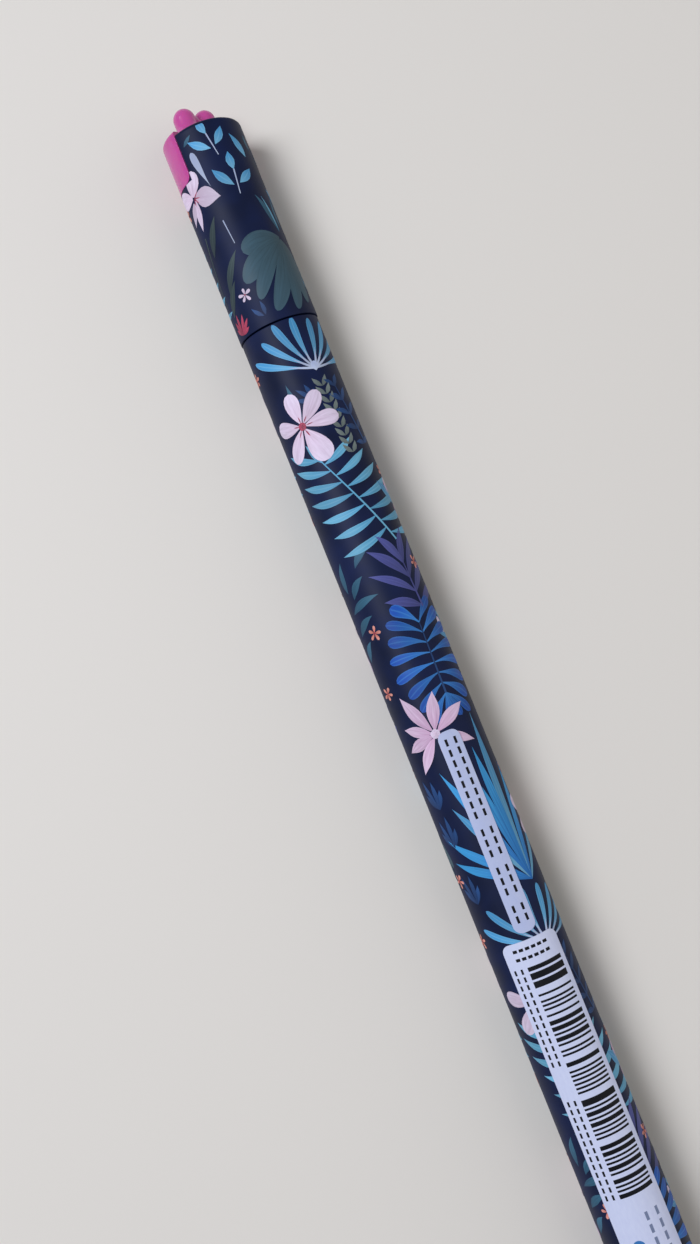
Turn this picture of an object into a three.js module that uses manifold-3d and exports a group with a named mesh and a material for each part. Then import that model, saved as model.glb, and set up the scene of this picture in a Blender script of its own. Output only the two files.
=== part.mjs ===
// Capped gel pen with a printed barrel, a moulded blossom on the cap and an eraser at its tail.
// Millimetres. The pen lies on its side along X, cap towards +X, and touches the table at z = 0.
// The origin is the middle of its bounding box's underside.
//
// Inside the pen group every piece is drawn on the pen's own axis: local Y runs from the tail (0)
// to the top of the blossom, local Z is up, and the group turns and lifts the lot into place.
// Angles round the pen are in degrees, clockwise from straight up as seen from the cap's end.
import * as THREE from "three";
import { mergeVertices } from "three/addons/utils/BufferGeometryUtils.js";
import Module from "manifold-3d";

const wasm = await Module();
wasm.setup();

// ---------- Driving dimensions ----------
const overallLength = 165;
const barrelOd = 9.6;
const barrelWall = 1.1;
const fit = 0.1; // radial clearance between pieces that fit into each other
const seat = 0.1; // axial clearance between faces that rest on each other

// Cap
const capLength = 25;
const capProud = 0.1; // the cap's skin stands this far outside the barrel's
const capWall = 1;
const capRimRound = 0.5;
const seamGap = 0.15;
const notchDepth = 5.7;
const notchHalfAngle = 97;
const frontAngle = 135; // the blossom's front, halfway between the left side and straight down

// Blossom topper
const lobeRadius = 1.25;
const lobeOffset = 1.68; // from the pen's axis to each top lobe's axis
const lobeRise = 3.66; // top of the lobes above the cap's rim
const plugDepth = 3;
const notchGap = 0.15;
const petalCount = 5;
const petalRadius = 0.85;
const petalOrbit = 1.35;
const petalRelief = 0.35;
const petalDomeDepth = 0.65;
const blossomBelowRim = 2.9;
const beadRadius = 0.55;
const beadRise = 0.5;
const beadBury = 0.45;
const beadDome = 0.3;
const pocketDome = 0.1;
const domeShoulder = 0.7; // radius of a stud's shoulder, as a share of the stud's
const domeShoulderDrop = 0.3; // how far the shoulder lies below the top, as a share of the dome
const bridgeReach = 0.8; // inner radius of the bridge, as a share of the cap's bore
const bridgeInset = 1; // degrees that the bridge stops short of the notch's sides

// Inner cap and nib seal
const innerCapWall = 0.65;
const innerCapTop = 0.8;
const innerCapLead = 0.2; // length of the chamfer at its mouth
const nibSealThickness = 2.6;
const nibSealClear = 0.2;
const plugClear = 0.3;

// Nose cone
const flangeThickness = 0.8;
const neckLength = 3.5;
const neckInset = 0.4; // neck surface below the cap's bore
const snapRingWidth = 0.8;
const snapRingPlace = 0.6; // where the ring begins, as a share of the neck
const snapRingRamp = 0.4; // each flank, as a share of the ring's width
const gripInset = 0.55;
const coneLength = 4.2;
const coneBoreShare = 0.3; // share of the cone that the tip's hole and the holder's nose each take
const shoulderShare = 0.5; // where the nose's inner shoulder stands, as a share of the neck
const noseTipWall = 0.45;
const threadPitch = 1;
const threadTurns = 5.5;
const threadDepth = 0.2;
const threadCrestShare = 0.4; // each flank of a thread, as a share of its pitch
const skirtWall = 0.7;
const skirtLead = 1.2; // plain stretch at each end of the thread

// Refill
const refillWall = 0.6;
const tailAir = 13.8; // empty bore behind the follower in a new refill
const followerLength = 6;
const tailPlugFlange = 1;
const tailPlugSpigot = 3.6;
const tailVentRadius = 0.5;
const holderSpigot = 6;
const holderCollar = 1.3;
const holderNoseGap = 0.15;
const inkBoreRadius = 0.75;

// Writing point
const ballDiameter = 0.7;
const ballClearance = 0.03;
const lipReach = 0.15; // crimped lip beyond the ball's centre
const lipWall = 0.09;
const shankRadius = 1;
const tipConeLength = 3;
const tipShankLength = 9;
const tipCollarLength = 0.2; // straight stretch between the shank and the cone
const tipBoreRadius = 0.55;
const inkChannelRadius = 0.16;
const springWireRadius = 0.07;
const springTurns = 9;
const springLength = 8;
const springCoilShare = 0.86; // share of the wire's run that is coiled
const springBlend = 0.03; // share of the run over which the coils close in
const springStepsPerTurn = 12;

// Tail
const eraserHeadLength = 4;
const eraserHeadInset = 0.6;
const eraserStemLength = 6.2;
const eraserRound = 1;
const plugFlangeLength = 1.9;
const plugSpigotLength = 9;
const plugPostLength = 5.5;
const postInset = 0.4; // the post's surface below the refill's
const socketWall = 0.7;
const plugChamfer = 0.3;
const cushionLength = 3.4;
const cushionInset = 0.6; // the cushion's surface below the post's
const cushionBury = 1.4;

// Labels, wrapped round the top of the barrel
const labelThickness = 0.1;
const labelLift = 0.04;
const labelCorner = 1;
const priceLabelLength = 46.7;
const priceLabelWidth = 6.9;
const priceLabelTurn = -3;
const priceLabelTailMargin = 7.5;
const sizeLabelLength = 24.4;
const sizeLabelWidth = 2.6;
const sizeLabelTurn = -5;
const labelSpacing = 0.8;

// Facets: the large round pieces stand on a flat facet, so that the pen doesn't roll
const roundSides = 32;
const smallSides = 20;
const tipSides = 16;

// ---------- Sizes and stations that follow ----------
const barrelR = barrelOd / 2;
const barrelBore = barrelR - barrelWall;
const capR = barrelR + capProud;
const capBore = capR - capWall;
const innerCapR = capBore - fit;
const innerCapBore = innerCapR - innerCapWall;
const skirtR = barrelBore - fit;
const skirtBore = skirtR - skirtWall;
const refillR = skirtBore - fit;
const refillBore = refillR - refillWall;
const neckR = capBore - neckInset;
const gripR = neckR - gripInset;
const holderR = refillBore - holderNoseGap;
const noseHoleR = shankRadius + fit;
const stemR = barrelBore - fit - socketWall - fit;
const postR = refillR - postInset;
const cushionR = postR - cushionInset;
const ballR = ballDiameter / 2;
const socketR = ballR + ballClearance;

const rimAt = overallLength - lobeRise;
const mouthAt = rimAt - capLength;
const barrelFrontAt = mouthAt - seamGap;
const barrelRearAt = eraserHeadLength + seat + plugFlangeLength + seat;
const plugBaseAt = rimAt - plugDepth;
const innerCapTopAt = plugBaseAt - plugClear;
const nibSealTopAt = innerCapTopAt - innerCapTop - seat;
const ballFrontAt = nibSealTopAt - nibSealThickness - nibSealClear;
const ballAt = ballFrontAt - ballR;
const lipAt = ballAt + lipReach;
const tipConeAt = lipAt - tipConeLength;
const noseFrontAt = tipConeAt;
const coneAt = noseFrontAt - coneLength;
const flangeAt = barrelFrontAt + seat;
const neckAt = flangeAt + flangeThickness;
const neckEndAt = neckAt + neckLength;
const threadLength = threadPitch * (threadTurns + 1);
const skirtRearAt = barrelFrontAt - threadLength - 2 * skirtLead;
const shoulderAt = neckAt + neckLength * shoulderShare;
const holderCollarEndAt = shoulderAt - seat;
const holderCollarAt = holderCollarEndAt - holderCollar;
const refillTubeFrontAt = holderCollarAt - seat;
const holderRearAt = refillTubeFrontAt - holderSpigot;
const tipShankAt = tipConeAt - tipShankLength;
const holderFrontAt = coneAt + coneLength * coneBoreShare;
const plugSpigotAt = eraserHeadLength + seat + plugFlangeLength;
const plugPostAt = plugSpigotAt + plugSpigotLength;
const plugPostEndAt = plugPostAt + plugPostLength;
const cushionAt = plugPostEndAt - cushionBury;
const tailPlugAt = cushionAt + cushionLength + seat;
const refillTubeRearAt = tailPlugAt + tailPlugFlange + seat;
const tailPlugFrontAt = tailPlugAt + tailPlugFlange + tailPlugSpigot;
const capFlatR = capR * Math.cos(Math.PI / roundSides); // from the axis to the cap's flat facets

// ---------- Materials ----------
function plastic(color, roughness, more = {}) {
  return new THREE.MeshStandardMaterial({ color, roughness, metalness: 0, ...more });
}

function metal(color, roughness) {
  return new THREE.MeshStandardMaterial({ color, roughness, metalness: 1 });
}

const navySkin = plastic(0x14203c, 0.55);
const pinkTopper = plastic(0xbd4f96, 0.35);
const yellowBead = plastic(0xf0c65a, 0.4);
const whiteLiner = plastic(0xe8e8e4, 0.5);
const softSeal = plastic(0xd9d3c4, 0.8);
const navyNose = plastic(0x1b2745, 0.4);
const eraserRubber = plastic(0xd98bb8, 0.85);
const foam = plastic(0x9a9aa0, 0.95);
const paper = plastic(0xdfe2f2, 0.5);
const milkyFilm = plastic(0xc8d0ea, 0.3, { transparent: true, opacity: 0.85 });
const clearTube = plastic(0xe6ecf0, 0.25, { transparent: true, opacity: 0.5 });
const blueInk = plastic(0x1b2f8f, 0.3);
const grease = plastic(0xe9dfb4, 0.4, { transparent: true, opacity: 0.7 });
const nickelSilver = metal(0xc9c4b8, 0.3);
const carbide = metal(0x8d9096, 0.15);
const springSteel = metal(0xb7babd, 0.3);

// ---------- Geometry helpers ----------
/** A body of revolution. Profile points are [radius, station], up the outside and down the bore. */
function turned(profile, sides = roundSides) {
  const points = profile.map(([radius, station]) => new THREE.Vector2(radius, station));
  const first = points[0];
  const last = points[points.length - 1];
  if (first.x > 0 || last.x > 0) points.push(first.clone());
  return new THREE.LatheGeometry(points, sides, Math.PI / sides);
}

/** Points of a rounded corner, from one angle to another about a centre, in profile coordinates. */
function corner(radius, station, round, fromDegrees, toDegrees, steps = 3) {
  return Array.from({ length: steps + 1 }, (_, i) => {
    const angle = THREE.MathUtils.degToRad(
      THREE.MathUtils.lerp(fromDegrees, toDegrees, i / steps),
    );
    return [Math.max(0, radius + round * Math.cos(angle)), station + round * Math.sin(angle)];
  });
}

/** A slice of a ring between two angles round the pen and two stations along it. */
function ringSlice(innerR, outerR, fromAt, toAt, middleAngle, halfAngle, steps = 24) {
  const start = THREE.MathUtils.degToRad(middleAngle - halfAngle + 90);
  const end = THREE.MathUtils.degToRad(middleAngle + halfAngle + 90);
  const outline = new THREE.Shape();
  outline.absarc(0, 0, outerR, start, end, false);
  outline.absarc(0, 0, innerR, end, start, true);
  outline.closePath();
  const slice = new THREE.ExtrudeGeometry(outline, {
    depth: toAt - fromAt,
    bevelEnabled: false,
    curveSegments: steps,
  });
  return slice.rotateX(Math.PI / 2).translate(0, toAt, 0);
}

/** The merged, closed solid of a geometry, for joining and cutting. */
function solid(geometry) {
  const bare = geometry.clone();
  bare.deleteAttribute("normal");
  bare.deleteAttribute("uv");
  const merged = mergeVertices(bare, 1e-4);
  return new wasm.Manifold(
    new wasm.Mesh({
      numProp: 3,
      vertProperties: new Float32Array(merged.attributes.position.array),
      triVerts: new Uint32Array(merged.index.array),
    }),
  );
}

/** The geometry of a joined or cut solid. */
function geometryOf(made) {
  const mesh = made.getMesh();
  const geometry = new THREE.BufferGeometry();
  geometry.setAttribute("position", new THREE.BufferAttribute(mesh.vertProperties, 3));
  geometry.setIndex(new THREE.BufferAttribute(mesh.triVerts, 1));
  geometry.computeVertexNormals();
  return geometry;
}

const pen = new THREE.Group();
pen.rotation.z = -Math.PI / 2;
pen.position.set(-overallLength / 2, 0, capFlatR);

function add(name, geometry, material) {
  const mesh = new THREE.Mesh(geometry, material);
  mesh.name = name;
  pen.add(mesh);
}

// ---------- Cap ----------
/** The cap's printed tube: open at both ends, with a notch in its front for the blossom's shell. */
function capTube() {
  const tube = turned([
    [capBore, mouthAt],
    [capR, mouthAt],
    ...corner(capR - capRimRound, rimAt - capRimRound, capRimRound, 0, 90),
    [capBore, rimAt],
  ]);
  const notchAngle = notchHalfAngle + THREE.MathUtils.radToDeg(notchGap / capR);
  const notch = ringSlice(
    capBore / 2,
    capR * 2,
    rimAt - notchDepth - notchGap,
    rimAt + capRimRound,
    frontAngle,
    notchAngle,
  );
  return geometryOf(solid(tube).subtract(solid(notch)));
}

/** One rounded lobe standing out of the top of the plug, on an axis of its own. */
function topLobe(side) {
  const lobe = turned(
    [
      [0, plugBaseAt + plugDepth / 2],
      [lobeRadius, plugBaseAt + plugDepth / 2],
      ...corner(0, overallLength - lobeRadius, lobeRadius, 0, 90, 6),
    ],
    smallSides,
  );
  const across = THREE.MathUtils.degToRad(frontAngle - 90);
  return lobe.translate(
    -side * lobeOffset * Math.sin(across),
    0,
    side * lobeOffset * Math.cos(across),
  );
}

/** How far out the shell's surface lies, at a distance to the side of the blossom's middle. */
function shellDepth(aside) {
  return Math.sqrt(capFlatR ** 2 - aside ** 2);
}

/** One petal of the raised blossom, a flattened dome that grows out of the shell. */
function petal(index) {
  const turn = THREE.MathUtils.degToRad(90 + (360 / petalCount) * index);
  const aside = petalOrbit * Math.cos(turn);
  const along = petalOrbit * Math.sin(turn);
  const dome = new THREE.SphereGeometry(1, smallSides, tipSides / 2);
  dome.scale(petalRadius, petalRadius, petalDomeDepth);
  dome.translate(aside, along, shellDepth(aside) + petalRelief - petalDomeDepth);
  return faceFront(dome);
}

/** Turns a shape drawn facing +Z, about the pen's axis, to the blossom's place on the front. */
function faceFront(geometry) {
  const turn = THREE.MathUtils.degToRad(-frontAngle);
  return geometry.translate(0, rimAt - blossomBelowRim, 0).rotateY(turn);
}

/** A round stud along +Z, drawn for the blossom's middle. */
function frontStud(radius, fromDepth, toDepth, dome) {
  const stud = turned(
    [
      [0, fromDepth],
      [radius, fromDepth],
      [radius, toDepth - dome],
      [radius * domeShoulder, toDepth - dome * domeShoulderDrop],
      [0, toDepth],
    ],
    tipSides,
  );
  return faceFront(stud.rotateX(Math.PI / 2));
}

/** The moulded topper: plug, two top lobes, front shell and a five-petal blossom in relief. */
function blossomTopper() {
  const shellInnerR = capBore;
  const plug = turned([
    [0, plugBaseAt],
    [capBore - fit, plugBaseAt],
    [capBore - fit, rimAt - seat],
    [0, rimAt - seat],
  ]);
  const shell = ringSlice(
    shellInnerR,
    capFlatR,
    rimAt - notchDepth,
    rimAt - seat,
    frontAngle,
    notchHalfAngle,
  );
  const bridge = ringSlice(
    capBore * bridgeReach,
    shellInnerR + fit,
    plugBaseAt,
    rimAt - seat,
    frontAngle,
    notchHalfAngle - bridgeInset,
  );
  let topper = solid(plug).add(solid(bridge)).add(solid(shell));
  for (const side of [1, -1]) topper = topper.add(solid(topLobe(side)));
  for (let i = 0; i < petalCount; i++) topper = topper.add(solid(petal(i)));
  const pocketFrom = capR - beadBury - seat;
  const pocket = frontStud(beadRadius + fit, pocketFrom, capR + 2 * beadRise, pocketDome);
  return geometryOf(topper.subtract(solid(pocket)));
}

/** The bead pressed into the blossom's middle. */
function blossomCentre() {
  return frontStud(beadRadius, capR - beadBury, capR + beadRise, beadDome);
}

/** The liner that closes airtight round the nose. */
function innerCap() {
  const mouth = neckEndAt + gripInset + seat;
  return turned([
    [innerCapBore, mouth],
    [innerCapR - fit, mouth],
    [innerCapR, mouth + innerCapLead],
    [innerCapR, innerCapTopAt],
    [0, innerCapTopAt],
    [0, innerCapTopAt - innerCapTop],
    [innerCapBore, innerCapTopAt - innerCapTop],
  ]);
}

/** The soft pad that the writing ball beds against when the cap is on. */
function nibSeal() {
  return turned([
    [0, nibSealTopAt - nibSealThickness],
    [innerCapBore - fit, nibSealTopAt - nibSealThickness],
    [innerCapBore - fit, nibSealTopAt],
    [0, nibSealTopAt],
  ]);
}

add("cap_tube", capTube(), navySkin);
add("blossom_topper", blossomTopper(), pinkTopper);
add("blossom_centre", blossomCentre(), yellowBead);
add("inner_cap", innerCap(), whiteLiner);
add("nib_seal", nibSeal(), softSeal);

// ---------- Nose cone ----------
/** The crests of the nose's screw thread, drawn as rings one pitch apart. */
function threadCrests() {
  const start = skirtRearAt + skirtLead;
  return Array.from({ length: Math.floor(threadLength / threadPitch) }, (_, i) => {
    const at = start + i * threadPitch;
    return [
      [skirtR - threadDepth, at],
      [skirtR, at + threadPitch * threadCrestShare],
      [skirtR - threadDepth, at + threadPitch * 2 * threadCrestShare],
    ];
  }).flat();
}

/** The screwed nose: threaded skirt, stop flange, neck with a snap ring, grip and cone. */
function noseCone() {
  const snapAt = neckAt + neckLength * snapRingPlace;
  const holderRoom = holderR + holderNoseGap;
  const noseFrontR = noseHoleR + noseTipWall;
  return turned([
    [skirtBore, skirtRearAt],
    [skirtR - threadDepth, skirtRearAt],
    ...threadCrests(),
    [skirtR - threadDepth, flangeAt],
    [capBore - fit, flangeAt],
    [capBore - fit, neckAt],
    [neckR, neckAt],
    [neckR, snapAt],
    [capBore - fit, snapAt + snapRingWidth * snapRingRamp],
    [capBore - fit, snapAt + snapRingWidth * (1 - snapRingRamp)],
    [neckR, snapAt + snapRingWidth],
    [neckR, neckEndAt],
    [gripR, neckEndAt + gripInset],
    [gripR, coneAt],
    [noseFrontR, noseFrontAt],
    [noseHoleR, noseFrontAt],
    [noseHoleR, noseFrontAt - coneLength * coneBoreShare],
    [holderRoom, coneAt],
    [holderRoom, shoulderAt + holderNoseGap],
    [skirtBore, shoulderAt],
  ]);
}

add("nose_cone", noseCone(), navyNose);

// ---------- Barrel and tail ----------
function barrelTube() {
  return turned([
    [barrelBore, barrelRearAt],
    [barrelR, barrelRearAt],
    [barrelR, barrelFrontAt],
    [barrelBore, barrelFrontAt],
  ]);
}

/** The plug pressed into the tail: eraser socket behind, post for the refill's cushion ahead. */
function rearPlug() {
  const rearAt = eraserHeadLength + seat;
  const socketR = stemR + fit;
  const socketEndAt = eraserHeadLength + eraserStemLength + seat;
  return turned([
    [socketR, rearAt],
    [barrelR - plugChamfer, rearAt],
    [barrelR, rearAt + plugChamfer],
    [barrelR, plugSpigotAt],
    [barrelBore - fit, plugSpigotAt],
    [barrelBore - fit, plugPostAt],
    [postR, plugPostAt],
    [postR, plugPostEndAt],
    [cushionR + fit, plugPostEndAt],
    [cushionR + fit, cushionAt - seat],
    [0, cushionAt - seat],
    [0, socketEndAt],
    [socketR, socketEndAt],
  ]);
}

/** The eraser: a flat-ended head and a stem that fills the plug's socket. */
function eraser() {
  const headR = barrelR - eraserHeadInset;
  return turned([
    [0, 0],
    ...corner(headR - eraserRound, eraserRound, eraserRound, -90, 0),
    [headR, eraserHeadLength],
    [stemR, eraserHeadLength],
    [stemR, eraserHeadLength + eraserStemLength],
    [0, eraserHeadLength + eraserStemLength],
  ]);
}

/** The foam cushion that keeps the refill pressed forward. */
function refillCushion() {
  return turned(
    [
      [0, cushionAt],
      [cushionR, cushionAt],
      [cushionR, cushionAt + cushionLength],
      [0, cushionAt + cushionLength],
    ],
    smallSides,
  );
}

/** A label wrapped round the barrel, its corners rounded as seen from above. */
function wrappedLabel(width, length, rearAt, turn) {
  const steps = Math.max(4, Math.round(width));
  const halfAngle = THREE.MathUtils.radToDeg(width / 2 / barrelR);
  const chordGrowth = 1 / Math.cos(THREE.MathUtils.degToRad(halfAngle / steps));
  const innerR = (barrelR + labelLift) * chordGrowth;
  const outerR = innerR + labelThickness;
  const band = ringSlice(innerR, outerR, rearAt, rearAt + length, 0, halfAngle, steps);
  const halfChord = outerR * Math.sin(THREE.MathUtils.degToRad(halfAngle));
  const outline = new THREE.Shape();
  const middleAt = rearAt + length / 2;
  const quarter = Math.PI / 2;
  const reachX = halfChord - labelCorner;
  const reachY = length / 2 - labelCorner;
  outline.absarc(reachX, middleAt + reachY, labelCorner, 0, quarter, false);
  outline.absarc(-reachX, middleAt + reachY, labelCorner, quarter, 2 * quarter, false);
  outline.absarc(-reachX, middleAt - reachY, labelCorner, 2 * quarter, 3 * quarter, false);
  outline.absarc(reachX, middleAt - reachY, labelCorner, 3 * quarter, 4 * quarter, false);
  const cutter = new THREE.ExtrudeGeometry(outline, {
    depth: capR * 2,
    bevelEnabled: false,
    curveSegments: 4,
  });
  const label = geometryOf(solid(band).intersect(solid(cutter)));
  return label.rotateY(THREE.MathUtils.degToRad(-turn));
}

const priceLabelAt = barrelRearAt + priceLabelTailMargin;
const sizeLabelAt = priceLabelAt + priceLabelLength + labelSpacing;

add("barrel_tube", barrelTube(), navySkin);
add("rear_plug", rearPlug(), navyNose);
add("eraser", eraser(), eraserRubber);
add("refill_cushion", refillCushion(), foam);
add(
  "price_label",
  wrappedLabel(priceLabelWidth, priceLabelLength, priceLabelAt, priceLabelTurn),
  paper,
);
add(
  "size_label",
  wrappedLabel(sizeLabelWidth, sizeLabelLength, sizeLabelAt, sizeLabelTurn),
  milkyFilm,
);

// ---------- Refill ----------
function refillTube() {
  return turned([
    [refillBore, refillTubeRearAt],
    [refillR, refillTubeRearAt],
    [refillR, refillTubeFrontAt],
    [refillBore, refillTubeFrontAt],
  ]);
}

/** The vented plug in the refill's tail. */
function refillTailPlug() {
  return turned(
    [
      [tailVentRadius, tailPlugAt],
      [refillR, tailPlugAt],
      [refillR, tailPlugAt + tailPlugFlange],
      [refillBore - fit, tailPlugAt + tailPlugFlange],
      [refillBore - fit, tailPlugFrontAt],
      [tailVentRadius, tailPlugFrontAt],
    ],
    smallSides,
  );
}

/** A plain column that fills the refill's bore between two stations. */
function boreColumn(fromAt, toAt) {
  return turned(
    [
      [0, fromAt],
      [refillBore - fit, fromAt],
      [refillBore - fit, toAt],
      [0, toAt],
    ],
    smallSides,
  );
}

/** The moulded holder between the refill's tube and its metal tip. */
function tipHolder() {
  const tipSocket = shankRadius + fit;
  return turned([
    [inkBoreRadius, holderRearAt],
    [refillBore - fit, holderRearAt],
    [refillBore - fit, refillTubeFrontAt + seat],
    [refillR, refillTubeFrontAt + seat],
    [refillR, holderCollarEndAt],
    [holderR, holderCollarEndAt],
    [holderR, coneAt],
    [(holderR + tipSocket) / 2, holderFrontAt],
    [tipSocket, holderFrontAt],
    [tipSocket, tipShankAt - seat],
    [inkBoreRadius, tipShankAt - seat],
  ]);
}

/** The metal tip: shank, cone and the socket whose crimped lip holds the ball. */
function metalTip() {
  const socketBack = Math.acos(inkChannelRadius / socketR);
  const lipR = Math.sqrt(ballR ** 2 - lipReach ** 2) + ballClearance;
  const channelEndAt = ballAt - socketR * Math.sin(socketBack);
  return turned(
    [
      [tipBoreRadius, tipShankAt],
      [shankRadius, tipShankAt],
      [shankRadius, tipConeAt + tipCollarLength],
      [socketR + 2 * lipWall, ballAt - socketR],
      [lipR + lipWall, lipAt],
      [lipR, lipAt],
      [socketR, ballAt],
      [socketR * Math.cos(socketBack / 2), ballAt - socketR * Math.sin(socketBack / 2)],
      [inkChannelRadius, channelEndAt],
      [inkChannelRadius, channelEndAt - 2 * inkChannelRadius],
      [tipBoreRadius, channelEndAt - ballDiameter],
    ],
    tipSides,
  );
}

/** The spring's centre line: close coils, then a straight end that bears on the ball. */
class SpringLine extends THREE.Curve {
  getPoint(share, target = new THREE.Vector3()) {
    const endAt = ballAt - socketR - springWireRadius;
    const radius = tipBoreRadius - fit - springWireRadius;
    const turn = Math.min(share / springCoilShare, 1) * springTurns * 2 * Math.PI;
    const inwards = THREE.MathUtils.smoothstep(
      share,
      springCoilShare - springBlend,
      springCoilShare + springBlend,
    );
    const reach = radius * (1 - inwards);
    const station = endAt - springLength * (1 - share);
    return target.set(reach * Math.sin(turn), station, reach * Math.cos(turn));
  }
}

function ballSpring() {
  const section = new THREE.Shape();
  section.absarc(0, 0, springWireRadius, 0, 2 * Math.PI, false);
  return new THREE.ExtrudeGeometry(section, {
    extrudePath: new SpringLine(),
    steps: springStepsPerTurn * (springTurns + 1),
    bevelEnabled: false,
    curveSegments: 3,
  });
}

function writingBall() {
  return new THREE.SphereGeometry(ballR, tipSides, tipSides / 2).translate(0, ballAt, 0);
}

const inkFrontAt = holderRearAt - seat;
const followerRearAt = tailPlugFrontAt + tailAir;
const inkRearAt = followerRearAt + followerLength + seat;

add("refill_tube", refillTube(), clearTube);
add("refill_tail_plug", refillTailPlug(), whiteLiner);
add("grease_follower", boreColumn(followerRearAt, followerRearAt + followerLength), grease);
add("ink_column", boreColumn(inkRearAt, inkFrontAt), blueInk);
add("tip_holder", tipHolder(), whiteLiner);
add("metal_tip", metalTip(), nickelSilver);
add("ball_spring", ballSpring(), springSteel);
add("writing_ball", writingBall(), carbide);

const gelPen = new THREE.Group();
gelPen.add(pen);
export default gelPen;
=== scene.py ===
"""A capped gel pen lying on its side: printed skins, a moulded blossom, labels, nose and writing point.

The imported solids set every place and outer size. Lengths below are in millimetres unless a name says
otherwise: `along` runs down the pen towards the cap, and `around` is an arc on the skin, measured from
its top towards +Y.
"""
import logging
import math
import random
from collections.abc import Callable, Iterable
from dataclasses import dataclass, field
from enum import Enum

import bmesh
import bpy
from mathutils import Matrix, Vector


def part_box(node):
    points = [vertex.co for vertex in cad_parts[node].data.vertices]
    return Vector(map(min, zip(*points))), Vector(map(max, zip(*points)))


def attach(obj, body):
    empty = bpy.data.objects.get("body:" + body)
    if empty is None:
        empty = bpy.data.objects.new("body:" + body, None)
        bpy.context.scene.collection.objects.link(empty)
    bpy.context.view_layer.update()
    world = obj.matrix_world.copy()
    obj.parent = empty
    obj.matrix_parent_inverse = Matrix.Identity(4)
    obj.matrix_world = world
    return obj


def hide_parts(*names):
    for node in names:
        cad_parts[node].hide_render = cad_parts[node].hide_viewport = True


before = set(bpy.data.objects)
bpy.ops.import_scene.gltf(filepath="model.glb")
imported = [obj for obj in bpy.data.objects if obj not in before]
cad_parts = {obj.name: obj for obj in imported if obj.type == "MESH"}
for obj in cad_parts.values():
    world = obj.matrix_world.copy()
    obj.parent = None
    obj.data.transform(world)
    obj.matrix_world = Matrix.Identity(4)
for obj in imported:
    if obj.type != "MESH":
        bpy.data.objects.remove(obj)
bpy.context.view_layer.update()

log = logging.getLogger("gel_pen")

MM = 0.001
WHOLE_TURN = 2 * math.pi

Outline = list[tuple[float, float]]
Place = tuple[float, float]
Colour = tuple[float, float, float, float]


# ---------- Lines of the pen ----------
def span(node: str) -> tuple[float, float]:
    """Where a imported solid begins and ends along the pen.

    Args:
        node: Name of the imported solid.

    Returns:
        Its lowest and highest place along the pen.
    """
    low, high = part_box(node)
    return low.x / MM, high.x / MM


def half_height(node: str) -> float:
    """Radius of a packed round solid, across its flats."""
    low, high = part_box(node)
    return (high.z - low.z) / 2 / MM


@dataclass(frozen=True)
class PenLines:
    """The lines that every piece is set out from."""

    axis: float
    barrel: float
    cap: float
    top: float
    rim: float
    mouth: float
    barrel_front: float
    barrel_rear: float
    tail: float

    @classmethod
    def from_frame(cls) -> "PenLines":
        """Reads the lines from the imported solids.

        Returns:
            The lines.
        """
        low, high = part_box("cap_tube")
        mouth, rim = span("cap_tube")
        rear, front = span("barrel_tube")
        return cls(
            axis=(low.z + high.z) / 2 / MM,
            barrel=half_height("barrel_tube"),
            cap=half_height("cap_tube"),
            top=span("blossom_topper")[1],
            rim=rim,
            mouth=mouth,
            barrel_front=front,
            barrel_rear=rear,
            tail=span("eraser")[0],
        )

    def wrap(self, along: float, around: float, radius: float, reference: float) -> Vector:
        """Puts a point of the unrolled skin back on the round.

        Args:
            along: Place down the pen.
            around: Arc from the top towards +Y, on the reference radius.
            radius: Distance of the finished point from the axis.
            reference: Radius that `around` is measured on.

        Returns:
            The point in metres.
        """
        angle = around / reference
        lift = self.axis + radius * math.cos(angle)
        return Vector((along, radius * math.sin(angle), lift)) * MM


LINES = PenLines.from_frame()


# ---------- Mesh work ----------
def turned(outline: Outline, steps: int = 128) -> bmesh.types.BMesh:
    """Spins an outline round the pen's axis.

    Args:
        outline: Points (along, radius). It starts and ends on the axis, or closes on itself.
        steps: Steps in a whole turn.

    Returns:
        A closed round body.
    """
    bm = bmesh.new()
    verts = [bm.verts.new((along * MM, 0, radius * MM)) for along, radius in outline]
    edges = [bm.edges.new(pair) for pair in zip(verts, verts[1:])]
    if outline[0][1] > 0 or outline[-1][1] > 0:
        edges.append(bm.edges.new((verts[-1], verts[0])))
    bmesh.ops.spin(
        bm, geom=verts + edges, cent=(0, 0, 0), axis=(1, 0, 0), dvec=(0, 0, 0),
        angle=WHOLE_TURN, steps=steps, use_merge=True,
    )
    bmesh.ops.remove_doubles(bm, verts=bm.verts, dist=0.0002 * MM)
    bmesh.ops.recalc_face_normals(bm, faces=bm.faces)
    bmesh.ops.translate(bm, verts=bm.verts, vec=(0, 0, LINES.axis * MM))
    return bm


def rounded(outline: Outline, radius: float, steps: int = 4) -> Outline:
    """Rounds the corners of an outline.

    Args:
        outline: Points (along, radius).
        radius: Radius of the rounding, less where the sides are short.
        steps: Steps in each rounding.

    Returns:
        The outline with each corner off the axis rounded.
    """
    on_axis = 1e-6
    least_turn = math.radians(8)
    side_share = 0.45
    result: Outline = []
    count = len(outline)
    for i, point in enumerate(outline):
        here = Vector(point)
        back = Vector(outline[i - 1]) - here
        ahead = Vector(outline[(i + 1) % count]) - here
        turn = math.pi - back.angle(ahead)
        if point[1] < on_axis or turn < least_turn:
            result.append(point)
            continue
        reach = min(radius * math.tan(turn / 2), side_share * back.length, side_share * ahead.length)
        start = here + back.normalized() * reach
        end = here + ahead.normalized() * reach
        for k in range(steps + 1):
            share = k / steps
            bow = start.lerp(here, share).lerp(here.lerp(end, share), share)
            result.append((bow.x, bow.y))
    return result


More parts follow.
